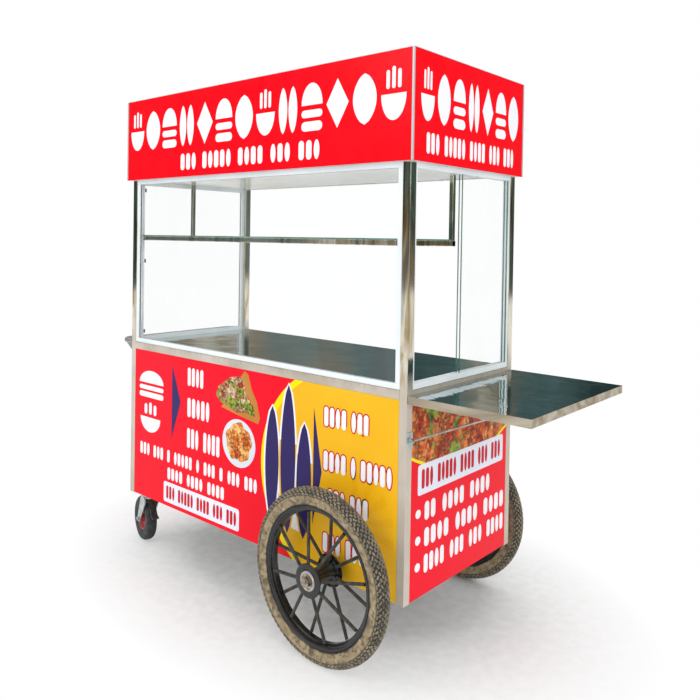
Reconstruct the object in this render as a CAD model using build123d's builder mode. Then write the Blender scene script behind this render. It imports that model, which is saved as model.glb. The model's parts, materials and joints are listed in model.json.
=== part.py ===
"""Push vending cart: a stainless tube frame with a panelled cabinet, a glazed counter under a
sign box, a fold-down tray, two spoked wheels on a through axle and two swivel casters.

Axes: X along the cart with the tray at +X, Y across it with the serving side at -Y, Z up.
Origin: on the ground, under the middle of the bounding box. Millimetres.
"""
import os
from math import asin, cos, radians, sin, sqrt

from build123d import *

os.makedirs("parts", exist_ok=True)

# ---------------------------------------------------------------- overall sizes
cart_length = 1500
cart_depth = 650
counter_height = 898        # top of the tube rails that carry the counter sheet
sign_bottom = 1600
sign_height = 340
sign_overhang = 20
tray_reach = 412
handle_reach = 100

# ---------------------------------------------------------------- tube frame
post_side = 30
post_wall = 1.2
post_corner = 2
bearer_side = 20            # cross tubes under the counter sheet
joint_gap = 0.3             # between pieces that meet at a corner
slide_gap = 0.5             # between a sliding piece and its guides
sheet = 1.2
overrun = 1                 # how far a cutting shape runs past the face it opens

# ---------------------------------------------------------------- big wheels and axle
wheel_radius = 281
wheel_offset = 90           # middle of the wheel from the long side of the cart
wheel_from_middle = 480     # axle from the middle of the cart, towards the tray
axle_radius = 10
axle_lift = 4               # metal of the clamp block under the axle
axle_chamfer = 1.5
thread_end = 4              # thread that shows past each nut
clamp_wall = 4
clamp_foot = 8
clamp_bolt_gap = 12         # bolt line from the side of the clamp barrel to its bolts
clamp_edge = 8
clamp_window = 90           # cut in the floor pan over each axle clamp
tyre_width = 56
tyre_depth = 57             # from the rim edge to the tread
rim_width = 44
rim_flange = 18
rim_wall = 3
tread_crown = 8             # the tread falls this much from its middle to its edge
tread_share = 0.75          # width of the tread, as a share of the tyre's
bulge_share = 0.45          # where the tyre is widest, as a share of its depth
spoke_radius = 5.5
spokes_per_side = 8
spoke_seat = 14             # spoke end from the edge of the hub flange
spoke_spread = 0.45         # where a spoke meets the rim, as a share of its half width
spoke_turn = 0.25           # first spoke, as a share of the step between two
hub_width = 108
hub_flange_radius = 54
hub_flange = 6
hub_radius = 31
bearing_radius = 23.5
bearing_width = 14
bearing_shoulder = 4
running_gap = 0.05          # radial, between a turning piece and what it turns on
collar_radius = axle_radius + 6
washer = 3
nut_width = 30
nut_height = 15

# ---------------------------------------------------------------- casters
caster_radius = 96
caster_width = 48
caster_rim_radius = 50
caster_trail = 50
caster_wall = 12            # depth of the rounded tread
caster_yaw = 15             # both forks trail a little to the rear side
caster_inset_x = 45
caster_inset_y = 70
caster_plate = 5
caster_plate_size = (90, 80)
caster_bolts = (68, 58)
caster_leg = 4
caster_leg_gap = 4
leg_back = 24               # fork leg behind the swivel line, under the crown
leg_lead = 10               # fork leg ahead of the brake pivot
leg_under_brake = 8
leg_foot = ((13, -8), (5, -14), (-8, -14), (-14, -5), (-12, 12))    # round the axle
race_height = 22
race_radius = 32
kingpin_radius = 7
crown = 6
crown_gap = 1
crown_half = 20
caster_axle_radius = 5
caster_nut_width = 16
caster_nut_height = 7
bolt_past_leg = 3
pin_past_leg = 2
caster_boss = 14
caster_dish = 8
rim_lip = 5
rim_setback = 1             # lip of the rim inside the wall of the tyre
bolt_width = 13             # M8 heads that hold the clamps and the casters
bolt_head = 6
brake_x = 20                # brake pivot ahead of the swivel line
brake_drop = 12             # brake pivot below the crown
brake_radius = 7
brake_pin_radius = 3
brake_pad_half = 14
brake_gap = 1               # between the brake and the fork legs
brake_root = 6              # shoe arm either side of the pivot
pedal = ((0, -3), (44, -58), (66, -62), (66, -56), (48, -52), (6, 2))   # from the pivot
shoe_gap = 5                # between the shoe and the tyre with the brake off
shoe_half = 3

# ---------------------------------------------------------------- panels and cabinet
panel = 3
panel_recess = 1            # panels sit this far inside the faces of the posts
panel_lift = 2
floor_rise = 45             # the floor pan stands this high over the bottom rails
track_height = 20
track_groove = 10
track_wall = 2
door_depth = 10
door_overlap = 20
door_stile = 24
pull_radius = 9
pull_depth = 6

# ---------------------------------------------------------------- glazing
window_profile = 18
window_depth = 14
frame_setback = 2           # window frames sit this far inside the faces of the posts
glass = 5
jamb = 8
pane_setback = 9            # middle of the outer pane from the end face
pane_wall = 3               # metal beside each groove of the pane tracks
pane_overlap = 20
clip_size = 16
clip_depth = 4
clip_places = (0.02, 0.5, 0.98)     # up the height of the glass

# ---------------------------------------------------------------- sign box
sign_channel = 20
trim_leg = 6
trim = 1.5

# ---------------------------------------------------------------- shelf
shelf_height = 1350
shelf_tube = 18
shelf_depth = 283
shelf_gap = 1               # shelf from the window frame
hanger_side = 16

# ---------------------------------------------------------------- tray
tray_drop = 13              # tray top below the counter rails
tray_rim = 25
tray_gap = 3
hinge_radius = 4
hinge_pin_radius = 2
hinge_drop = 5              # hinge line below the tray rim
hinge_leaf = 2
hinge_clear = 1             # hinge barrel from the end panel
hinge_width = 70
leaf_share = 0.8            # height of the leaves up the tray's rim
hinge_from_middle = 200
stay_drop = 109             # stay pivot below the hinge line
stay_out = 11               # stay pivot out from the end face
stay_length = 288
stay_radius = 3.5
stay_inset = 14
stay_eye_radius = 8
stay_eye_width = 2 * stay_radius + 0.4
stay_bolt_radius = 3
stay_nut_width = 10
stay_nut_height = 4
stay_thread = 1             # bolt that shows past the ear
stay_tip_rise = 2           # end of the stay above the tray's lower edge
ear = 3
bracket_half = 25
catch_width = 15
catch_length = 30
catch_past_tip = 5
catch_drop = 3
catch_slack = 1             # round the stay in its catch

# ---------------------------------------------------------------- push handle
handle_radius = 12
handle_bend = 40
handle_height = 895
handle_flange = 4
flange_half = 25
gusset = 6
gusset_drop = 24            # gusset below the flange
gusset_reach = 0.75         # gusset under the tube, as a share of the handle's reach

# ---------------------------------------------------------------- derived places
total_length = handle_reach + cart_length + tray_reach
left_x = handle_reach - total_length / 2
right_x = left_x + cart_length
mid_x = (left_x + right_x) / 2
half_depth = cart_depth / 2
inner_left = left_x + post_side
inner_right = right_x - post_side
inner_y = half_depth - post_side
panel_back = panel_recess + panel           # inside face of a panel from the post face

axle_z = wheel_radius
axle_x = mid_x + wheel_from_middle
rail_top = axle_z - axle_radius - axle_lift
cabinet_bottom = rail_top - post_side
floor_z = rail_top + floor_rise
counter_under = counter_height - post_side
counter_top_z = counter_height + sheet
sign_top = sign_bottom + sign_height
wheel_y = half_depth + wheel_offset
tray_top_z = counter_height - tray_drop
tray_under = tray_top_z - tray_rim
hinge_x = right_x + hinge_radius + hinge_clear
hinge_z = tray_under - hinge_drop


def block(x, y, z, mode=Mode.ADD):
    """Add a box that spans the three (low, high) pairs."""
    with Locations(((x[0] + x[1]) / 2, (y[0] + y[1]) / 2, (z[0] + z[1]) / 2)):
        Box(x[1] - x[0], y[1] - y[0], z[1] - z[0], mode=mode)


def square_tube(start, direction, length, side=post_side, wall=post_wall):
    """Add a square tube whose middle line starts at a point."""
    with BuildSketch(Plane(origin=start, x_dir=(0, 1, 0) if direction[1] == 0 else (1, 0, 0),
                           z_dir=direction)) as section:
        RectangleRounded(side, side, post_corner)
        RectangleRounded(side - 2 * wall, side - 2 * wall, post_corner - wall, mode=Mode.SUBTRACT)
    extrude(section.sketch, amount=length)


def round_bar(start, end, radius, mode=Mode.ADD):
    """Add a round bar between two points."""
    path = Vector(*end) - Vector(*start)
    with BuildSketch(Plane(origin=start, z_dir=path)) as section:
        Circle(radius)
    extrude(section.sketch, amount=path.length, mode=mode)


def hex_bar(start, direction, across_flats, length):
    """Add a hexagonal head or nut."""
    with BuildSketch(Plane(origin=start, z_dir=direction)) as section:
        RegularPolygon(across_flats / 2, 6, major_radius=False)
    extrude(section.sketch, amount=length)


def save(part, name):
    """Label a finished piece and write it."""
    part.label = name
    export_step(part, f"parts/{name}.step")


# ================================================================ tube frame
with BuildPart() as corner_posts:
    for x in (left_x + post_side / 2, right_x - post_side / 2):
        for y in (-half_depth + post_side / 2, half_depth - post_side / 2):
            square_tube((x, y, cabinet_bottom), (0, 0, 1), sign_top - sheet - cabinet_bottom)
save(corner_posts.part, "corner_posts")


def rail_ring(z, setback):
    """Add two long rails between the posts and two end rails between those, set back together."""
    inset = setback + post_side / 2
    end_reach = 2 * (inner_y - setback - joint_gap)
    for y in (-half_depth + inset, half_depth - inset):
        square_tube((inner_left, y, z), (1, 0, 0), inner_right - inner_left)
    for x in (left_x + inset, right_x - inset):
        square_tube((x, -end_reach / 2, z), (0, 1, 0), end_reach)


with BuildPart() as bottom_rails:
    rail_ring(rail_top - post_side / 2, panel_back)
save(bottom_rails.part, "bottom_rails")

with BuildPart() as counter_rails:
    rail_ring(counter_height - post_side / 2, 0)
    bearer_reach = 2 * (inner_y - joint_gap)
    for x in (mid_x - cart_length / 6, mid_x + cart_length / 6):
        square_tube((x, -bearer_reach / 2, counter_height - bearer_side / 2), (0, 1, 0), bearer_reach,
                    bearer_side)
save(counter_rails.part, "counter_rails")

# ================================================================ cabinet
with BuildPart() as cabinet_floor:
    pan_y = half_depth - panel_back
    pan_x = (left_x + panel_back, right_x - panel_back)
    block(pan_x, (-pan_y, pan_y), (rail_top, floor_z))
    block((pan_x[0] - overrun, pan_x[1] + overrun), (-pan_y + sheet, pan_y - sheet),
          (rail_top, floor_z - sheet), Mode.SUBTRACT)
    for x in ((left_x, inner_left + joint_gap), (inner_right - joint_gap, right_x)):
        for side in (-1, 1):
            y = sorted((side * (inner_y - joint_gap), side * half_depth))
            block(x, y, (rail_top, floor_z), Mode.SUBTRACT)
    block((axle_x - clamp_window / 2, axle_x + clamp_window / 2), (-half_depth, half_depth),
          (rail_top, floor_z - 2 * sheet), Mode.SUBTRACT)
save(cabinet_floor.part, "cabinet_floor")

panel_z = (cabinet_bottom + panel_lift, counter_under)
long_panel_y = (half_depth - panel_back, half_depth - panel_recess)
axle_hole = collar_radius + 2

with BuildPart() as front_panel:
    block((inner_left, inner_right), (-long_panel_y[1], -long_panel_y[0]), panel_z)
    round_bar((axle_x, -half_depth, axle_z), (axle_x, 0, axle_z), axle_hole, Mode.SUBTRACT)
save(front_panel.part, "front_panel")

with BuildPart() as rear_skirt:
    block((inner_left, inner_right), long_panel_y, (panel_z[0], floor_z))
    round_bar((axle_x, 0, axle_z), (axle_x, half_depth, axle_z), axle_hole, Mode.SUBTRACT)
save(rear_skirt.part, "rear_skirt")

with BuildPart() as end_panels:
    for face, inward in ((left_x, 1), (right_x, -1)):
        x = sorted((face + inward * panel_recess, face + inward * panel_back))
        block(x, (-inner_y, inner_y), panel_z)
save(end_panels.part, "end_panels")

# the doors and the glass panes run in pairs of grooves, one inside the other
door_slot = door_depth + 2 * slide_gap
outer_door_y = half_depth - panel_recess - slide_gap - track_wall - door_depth / 2
door_lines = (outer_door_y, outer_door_y - door_slot - track_wall)
door_track_y = (door_lines[1] - door_slot / 2 - track_wall, door_lines[0] + door_slot / 2 + track_wall)

with BuildPart() as door_tracks:
    for low, high, open_side in ((floor_z, floor_z + track_height, 1),
                                 (counter_under - track_height, counter_under, -1)):
        block((inner_left, inner_right), door_track_y, (low, high))
        z = (high - track_groove, high) if open_side > 0 else (low, low + track_groove)
        for y in door_lines:
            block((inner_left, inner_right), (y - door_slot / 2, y + door_slot / 2), z, Mode.SUBTRACT)
save(door_tracks.part, "door_tracks")

opening_width = inner_right - inner_left
door_width = opening_width / 2 + door_overlap
door_travel = opening_width - door_width - 2 * slide_gap
door_z = (floor_z + track_height - track_groove + slide_gap,
          counter_under - track_height + track_groove - slide_gap)
for name, line, start, pull_edge in (
        ("rear_door_left", 0, inner_left + slide_gap, 0),
        ("rear_door_right", 1, inner_right - slide_gap - door_width, door_width)):
    y = (door_lines[line] - door_depth / 2, door_lines[line] + door_depth / 2)
    pull_x = start + abs(pull_edge - door_stile / 2)
    pull_z = (door_z[0] + door_z[1]) / 2
    with BuildPart() as door:
        block((start, start + door_width), y, door_z)
        block((start + door_stile, start + door_width - door_stile), (y[0], y[1] - sheet),
              (door_z[0] + door_stile, door_z[1] - door_stile), Mode.SUBTRACT)
        round_bar((pull_x, y[1] - pull_depth, pull_z), (pull_x, y[1], pull_z), pull_radius,
                  Mode.SUBTRACT)
    save(door.part, name)

# ================================================================ counter
with BuildPart() as counter_top:
    block((left_x, right_x), (-half_depth, half_depth), (counter_height, counter_top_z))
    for x in ((left_x, inner_left), (inner_right, right_x)):
        for side in (-1, 1):
            block(x, sorted((side * inner_y, side * half_depth)), (counter_height, counter_top_z),
                  Mode.SUBTRACT)
save(counter_top.part, "counter_top")

# ================================================================ glazing
window_z = (counter_top_z, sign_bottom)
glass_z = (window_z[0] + window_profile, window_z[1] - window_profile)
front_glass_y = -half_depth + frame_setback + window_depth / 2
left_glass_x = left_x + frame_setback + window_depth / 2


def window_frame(low, high, middle, along_x):
    """Add four aluminium profiles round an opening, uprights between the top and bottom ones."""
    depth = (middle - window_depth / 2, middle + window_depth / 2)
    spans = [((low, high), (window_z[0], glass_z[0])), ((low, high), (glass_z[1], window_z[1]))]
    spans += [((low, low + window_profile), (glass_z[0] + joint_gap, glass_z[1] - joint_gap)),
              ((high - window_profile, high), (glass_z[0] + joint_gap, glass_z[1] - joint_gap))]
    for run, z in spans:
        if along_x:
            block(run, depth, z)
        else:
            block(depth, run, z)


with BuildPart() as window_frames:
    window_frame(inner_left, inner_right, front_glass_y, True)
    window_frame(-inner_y, inner_y, left_glass_x, False)
save(window_frames.part, "window_frames")

with BuildPart() as front_glass:
    block((inner_left + window_profile, inner_right - window_profile),
          (front_glass_y - glass / 2, front_glass_y + glass / 2), glass_z)
save(front_glass.part, "front_glass")

with BuildPart() as left_glass:
    block((left_glass_x - glass / 2, left_glass_x + glass / 2),
          (-inner_y + window_profile, inner_y - window_profile), glass_z)
save(left_glass.part, "left_glass")

with BuildPart() as glass_clips:
    for share in clip_places:
        z = glass_z[0] + clip_size / 2 + share * (glass_z[1] - glass_z[0] - clip_size)
        block((left_glass_x + glass / 2, left_glass_x + glass / 2 + clip_depth),
              (-inner_y + window_profile, -inner_y + window_profile + clip_size / 2),
              (z - clip_size / 2, z + clip_size / 2))
save(glass_clips.part, "glass_clips")

pane_slot = glass + 2 * slide_gap
pane_lines = (right_x - pane_setback, right_x - pane_setback - pane_slot - 2 * pane_wall)
pane_track_x = (pane_lines[1] - pane_slot / 2 - pane_wall, pane_lines[0] + pane_slot / 2 + pane_wall)

with BuildPart() as pane_tracks:
    for low, high, groove in (
            (window_z[0], window_z[0] + window_profile,
             (window_z[0] + window_profile - track_groove, window_z[0] + window_profile)),
            (window_z[1] - window_profile, window_z[1],
             (window_z[1] - window_profile, window_z[1] - window_profile + track_groove))):
        block(pane_track_x, (-inner_y, inner_y), (low, high))
        for x in pane_lines:
            block((x - pane_slot / 2, x + pane_slot / 2), (-inner_y, inner_y), groove, Mode.SUBTRACT)
    for side in (-1, 1):
        block(pane_track_x, sorted((side * inner_y, side * (inner_y - jamb))),
              (glass_z[0] + joint_gap, glass_z[1] - joint_gap))
save(pane_tracks.part, "pane_tracks")

pane_opening = 2 * (inner_y - jamb)
pane_width = pane_opening / 2 + pane_overlap
pane_travel = pane_opening - pane_width - 2 * slide_gap
for name, line in (("pane_outer", 0), ("pane_inner", 1)):
    with BuildPart() as pane:
        rear = inner_y - jamb - slide_gap
        block((pane_lines[line] - glass / 2, pane_lines[line] + glass / 2), (rear - pane_width, rear),
              (glass_z[0] - track_groove + slide_gap, glass_z[1] + track_groove - slide_gap))
    save(pane.part, name)

# ================================================================ sign box
sign_left = left_x - sign_overhang
sign_right = right_x + sign_overhang
sign_y = half_depth + sign_overhang
panel_face = sign_y - trim
panel_inside = panel_face - panel

with BuildPart() as sign_frame:
    for z in ((sign_bottom, sign_bottom + sign_channel),
              (sign_top - sheet - sign_channel, sign_top - sheet)):
        for side in (-1, 1):
            block((left_x, right_x), sorted((side * half_depth, side * panel_inside)), z)
        for face, out in ((left_x, -1), (right_x, 1)):
            x = sorted((face + out * joint_gap, face + out * (panel_inside - half_depth)))
            block(x, (-panel_inside, panel_inside), z)
save(sign_frame.part, "sign_frame")

with BuildPart() as roof_beams:
    z = sign_bottom + post_side / 2
    for y in (-half_depth + post_side / 2, half_depth - post_side / 2):
        square_tube((inner_left, y, z), (1, 0, 0), inner_right - inner_left)
    for x in (left_x + post_side / 2, right_x - post_side / 2):
        square_tube((x, -inner_y, z), (0, 1, 0), 2 * inner_y)
save(roof_beams.part, "roof_beams")

sign_z = (sign_bottom, sign_top - sheet)
sign_end = sign_left + trim + panel
with BuildPart() as sign_panels_long:
    for side in (-1, 1):
        block((sign_left + trim, sign_right - trim), sorted((side * panel_inside, side * panel_face)),
              sign_z)
save(sign_panels_long.part, "sign_panels_long")

with BuildPart() as sign_panels_end:
    for x in ((sign_left + trim, sign_end), (sign_right - trim - panel, sign_right - trim)):
        block(x, (-panel_inside + joint_gap, panel_inside - joint_gap), sign_z)
save(sign_panels_end.part, "sign_panels_end")

with BuildPart() as sign_trims:
    for x, out_x in ((sign_left, 1), (sign_right, -1)):
        for side in (-1, 1):
            y = sorted((side * sign_y, side * (sign_y - trim_leg)))
            block(sorted((x, x + out_x * trim_leg)), y, sign_z)
            block(sorted((x + out_x * trim, x + out_x * (trim_leg + overrun))),
                  sorted((side * (sign_y - trim), side * (sign_y - trim_leg - overrun))), sign_z,
                  Mode.SUBTRACT)
save(sign_trims.part, "sign_trims")

with BuildPart() as roof_sheet:
    block((sign_left, sign_right), (-sign_y, sign_y), (sign_top - sheet, sign_top))
save(roof_sheet.part, "roof_sheet")

with BuildPart() as ceiling_sheet:
    z = (sign_bottom - sheet, sign_bottom)
    block((inner_left, inner_right), (-inner_y, inner_y), z)
save(ceiling_sheet.part, "ceiling_sheet")

# ================================================================ hanging shelf
shelf_x = (inner_left, inner_right)
shelf_front = -half_depth + frame_setback + window_depth + shelf_gap
shelf_rear = shelf_front + shelf_depth
shelf_z = shelf_height + shelf_tube / 2

with BuildPart() as shelf_frame:
    for y in (shelf_front + shelf_tube / 2, shelf_rear - shelf_tube / 2):
        square_tube((shelf_x[0], y, shelf_height), (1, 0, 0), shelf_x[1] - shelf_x[0], shelf_tube)
    cross_reach = shelf_depth - 2 * (shelf_tube + joint_gap)
    for x in (shelf_x[0] + shelf_tube / 2, mid_x, shelf_x[1] - shelf_tube / 2):
        square_tube((x, shelf_front + shelf_tube + joint_gap, shelf_height), (0, 1, 0), cross_reach,
                    shelf_tube)
    for x in (shelf_x[0] + shelf_tube / 2, shelf_x[1] - shelf_tube / 2):
        square_tube((x, shelf_rear - shelf_tube / 2, shelf_z + joint_gap), (0, 0, 1),
                    sign_bottom - sheet - shelf_z - joint_gap, hanger_side)
save(shelf_frame.part, "shelf_frame")

with BuildPart() as shelf_glass:
    block((shelf_x[0] + joint_gap, shelf_x[1] - joint_gap),
          (shelf_front + shelf_gap, shelf_rear - shelf_tube - shelf_gap), (shelf_z, shelf_z + glass))
save(shelf_glass.part, "shelf_glass")

# ================================================================ tray, hinges and stays
tray_x = (right_x + tray_gap, right_x + tray_reach)
catch_slot = 2 * (stay_radius + catch_slack)
catch_top = tray_under + stay_tip_rise + stay_radius + catch_slack
stay_y = half_depth - stay_inset
stay_x = right_x + stay_out
stay_z = hinge_z - stay_drop
stay_tip_z = tray_under + stay_tip_rise
stay_rise = asin((stay_tip_z - stay_z) / stay_length)
stay_tip_x = stay_x + stay_length * cos(stay_rise)

with BuildPart() as tray_top:
    block(tray_x, (-half_depth, half_depth), (tray_under, tray_top_z))
    block((tray_x[0] + sheet, tray_x[1] - sheet), (-half_depth + sheet, half_depth - sheet),
          (tray_under, tray_top_z - sheet), Mode.SUBTRACT)
save(tray_top.part, "tray_top")

with BuildPart() as stay_catches:
    for side in (-1, 1):
        y = side * stay_y
        catch_x = (stay_tip_x + catch_past_tip - catch_length, stay_tip_x + catch_past_tip)
        block(catch_x, (y - catch_width / 2, y + catch_width / 2),
              (tray_under - catch_drop, tray_top_z - sheet))
        block((catch_x[0] - overrun, catch_x[1] + overrun), (y - catch_slot / 2, y + catch_slot / 2),
              (tray_under - catch_drop, catch_top), Mode.SUBTRACT)
save(stay_catches.part, "stay_catches")

knuckle = hinge_width / 3
leaf_high = tray_under + leaf_share * tray_rim
knuckle_clear = hinge_radius + joint_gap


def hinge_leaf_piece(leaf_x, knuckles, reliefs):
    """Add one leaf of each tray hinge: a plate above the hinge line and its own knuckles."""
    for middle in (-hinge_from_middle, hinge_from_middle):
        block(leaf_x, (middle - hinge_width / 2, middle + hinge_width / 2), (hinge_z, leaf_high))
        for place in reliefs:
            y = middle + place * knuckle
            round_bar((hinge_x, y - knuckle / 2 - joint_gap, hinge_z),
                      (hinge_x, y + knuckle / 2 + joint_gap, hinge_z), knuckle_clear, Mode.SUBTRACT)
            block((hinge_x - knuckle_clear, hinge_x + knuckle_clear),
                  (y - knuckle / 2 - joint_gap, y + knuckle / 2 + joint_gap),
                  (hinge_z - knuckle_clear, hinge_z), Mode.SUBTRACT)
        for place in knuckles:
            y = middle + place * knuckle
            half = knuckle / 2 - joint_gap
            round_bar((hinge_x, y - half, hinge_z), (hinge_x, y + half, hinge_z), hinge_radius)


with BuildPart() as tray_hinge_fixed:
    hinge_leaf_piece((right_x, right_x + hinge_leaf), (-1, 1), (0,))
    round_bar((hinge_x, -half_depth, hinge_z), (hinge_x, half_depth, hinge_z), hinge_pin_radius,
              Mode.SUBTRACT)
save(tray_hinge_fixed.part, "tray_hinge_fixed")

with BuildPart() as tray_hinge_moving:
    hinge_leaf_piece((tray_x[0] + sheet, tray_x[0] + sheet + hinge_leaf), (0,), (-1, 1))
    round_bar((hinge_x, -half_depth, hinge_z), (hinge_x, half_depth, hinge_z),
              hinge_pin_radius + running_gap, Mode.SUBTRACT)
save(tray_hinge_moving.part, "tray_hinge_moving")

for name, side in (("tray_stay_front", -1), ("tray_stay_rear", 1)):
    y = side * stay_y
    with BuildPart() as stay:
        round_bar((stay_x, y, stay_z), (stay_tip_x, y, stay_tip_z), stay_radius)
        round_bar((stay_x, y - stay_eye_width / 2, stay_z), (stay_x, y + stay_eye_width / 2, stay_z),
                  stay_eye_radius)
        round_bar((stay_x, y - stay_eye_width, stay_z), (stay_x, y + stay_eye_width, stay_z),
                  stay_bolt_radius + running_gap, Mode.SUBTRACT)
    save(stay.part, name)

ear_from_stay = stay_eye_width / 2 + joint_gap
with BuildPart() as stay_brackets:
    for side in (-1, 1):
        y = side * stay_y
        ear_y = (y + side * ear_from_stay, y + side * (ear_from_stay + ear))
        block((right_x, right_x + hinge_leaf), sorted((side * inner_y, side * (half_depth - post_corner))),
              (stay_z - bracket_half, stay_z + bracket_half))
        block((right_x, stay_x), sorted(ear_y), (stay_z - stay_eye_radius, stay_z + stay_eye_radius))
        round_bar((stay_x, ear_y[0], stay_z), (stay_x, ear_y[1], stay_z), stay_eye_radius)
        round_bar((stay_x, ear_y[0] - side * overrun, stay_z),
                  (stay_x, ear_y[1] + side * overrun, stay_z),
                  stay_bolt_radius, Mode.SUBTRACT)
save(stay_brackets.part, "stay_brackets")

with BuildPart() as tray_pins:
    for y in (-hinge_from_middle, hinge_from_middle):
        round_bar((hinge_x, y - hinge_width / 2, hinge_z), (hinge_x, y + hinge_width / 2, hinge_z),
                  hinge_pin_radius)
    for side in (-1, 1):
        y = side * stay_y
        inside = y - side * ear_from_stay
        round_bar((stay_x, inside, stay_z), (stay_x, y + side * (ear_from_stay + ear + stay_thread), stay_z),
                  stay_bolt_radius)
        hex_bar((stay_x, inside, stay_z), (0, -side, 0), stay_nut_width, stay_nut_height)
save(tray_pins.part, "tray_pins")


def upright_plate(points, y_low, y_high):
    """Add a flat plate whose outline is given as (x, z) points."""
    with BuildSketch(Plane.XZ.offset(-y_high)) as section:
        with BuildLine():
            Polyline(*points, close=True)
        make_face()
    extrude(section.sketch, amount=y_high - y_low)


# ================================================================ push handle
handle_y = half_depth - post_side / 2
handle_line = left_x - handle_reach + handle_radius
flange_width = post_side - post_corner
with BuildPart() as push_handle:
    with BuildLine():
        FilletPolyline((left_x, -handle_y, handle_height), (handle_line, -handle_y, handle_height),
                       (handle_line, handle_y, handle_height), (left_x, handle_y, handle_height),
                       radius=handle_bend)
    with BuildSketch(Plane(origin=(left_x, -handle_y, handle_height), z_dir=(-1, 0, 0))):
        Circle(handle_radius)
    sweep()
    for side in (-1, 1):
        y = side * handle_y
        block((left_x - handle_flange, left_x), (y - flange_width / 2, y + flange_width / 2),
              (handle_height - flange_half, handle_height + flange_half))
        upright_plate(((left_x, handle_height), (left_x - gusset_reach * handle_reach, handle_height),
                       (left_x, handle_height - flange_half - gusset_drop)),
                      y - gusset / 2, y + gusset / 2)
save(push_handle.part, "push_handle")

# ================================================================ axle
axle_half = wheel_y + hub_width / 2 + washer + nut_height
clamp_bolt_x = axle_radius + clamp_bolt_gap
clamp_half = clamp_bolt_x + clamp_edge
clamp_y = (half_depth - panel_back - post_side + sheet, half_depth - panel_back - 2 * sheet)
hub_inner = wheel_y - hub_width / 2
hub_outer = wheel_y + hub_width / 2


def across(x, y_ends, z, radius, mode=Mode.ADD):
    """Add a round bar that lies across the cart."""
    round_bar((x, y_ends[0], z), (x, y_ends[1], z), radius, mode)


with BuildPart() as wheel_axle:
    across(axle_x, (-axle_half, axle_half), axle_z, axle_radius)
    chamfer(wheel_axle.edges().filter_by(GeomType.CIRCLE), axle_chamfer)
save(wheel_axle.part, "wheel_axle")

with BuildPart() as axle_clamps:
    for side in (-1, 1):
        y = sorted((side * clamp_y[0], side * clamp_y[1]))
        block((axle_x - clamp_half, axle_x + clamp_half), y, (rail_top, rail_top + clamp_foot))
        block((axle_x - axle_radius - clamp_wall, axle_x + axle_radius + clamp_wall), y,
              (rail_top, axle_z))
        across(axle_x, y, axle_z, axle_radius + clamp_wall)
    across(axle_x, (-half_depth, half_depth), axle_z, axle_radius, Mode.SUBTRACT)
save(axle_clamps.part, "axle_clamps")

with BuildPart() as axle_collars:
    for side in (-1, 1):
        across(axle_x, (side * (half_depth - panel_back), side * hub_inner), axle_z, collar_radius)
    across(axle_x, (-axle_half, axle_half), axle_z, axle_radius, Mode.SUBTRACT)
save(axle_collars.part, "axle_collars")

with BuildPart() as axle_nuts:
    for side in (-1, 1):
        across(axle_x, (side * hub_outer, side * (hub_outer + washer)), axle_z, collar_radius)
        hex_bar((axle_x, side * (hub_outer + washer), axle_z), (0, side, 0), nut_width,
                nut_height - thread_end)
    across(axle_x, (-axle_half, axle_half), axle_z, axle_radius, Mode.SUBTRACT)
save(axle_nuts.part, "axle_nuts")

with BuildPart() as wheel_bearings:
    for side in (-1, 1):
        for y in (hub_inner, hub_outer - bearing_width):
            across(axle_x, (side * y, side * (y + bearing_width)), axle_z, bearing_radius)
    across(axle_x, (-axle_half, axle_half), axle_z, axle_radius, Mode.SUBTRACT)
save(wheel_bearings.part, "wheel_bearings")

# ================================================================ big wheels
rim_edge = wheel_radius - tyre_depth
rim_well = rim_edge - rim_flange
axle_line = Axis((axle_x, 0, axle_z), (0, 1, 0))
half_rim = rim_width / 2
half_tyre = tyre_width / 2
half_hub = hub_width / 2
bead = half_rim - rim_wall - joint_gap
shoulder = rim_edge + joint_gap
bulge = shoulder + bulge_share * tyre_depth
tread = wheel_radius - tread_crown
tread_half = tread_share * half_tyre
bearing_seat = bearing_radius + running_gap
hub_bore = bearing_radius - bearing_shoulder
spoke_start = half_hub - hub_flange - spoke_radius

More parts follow.
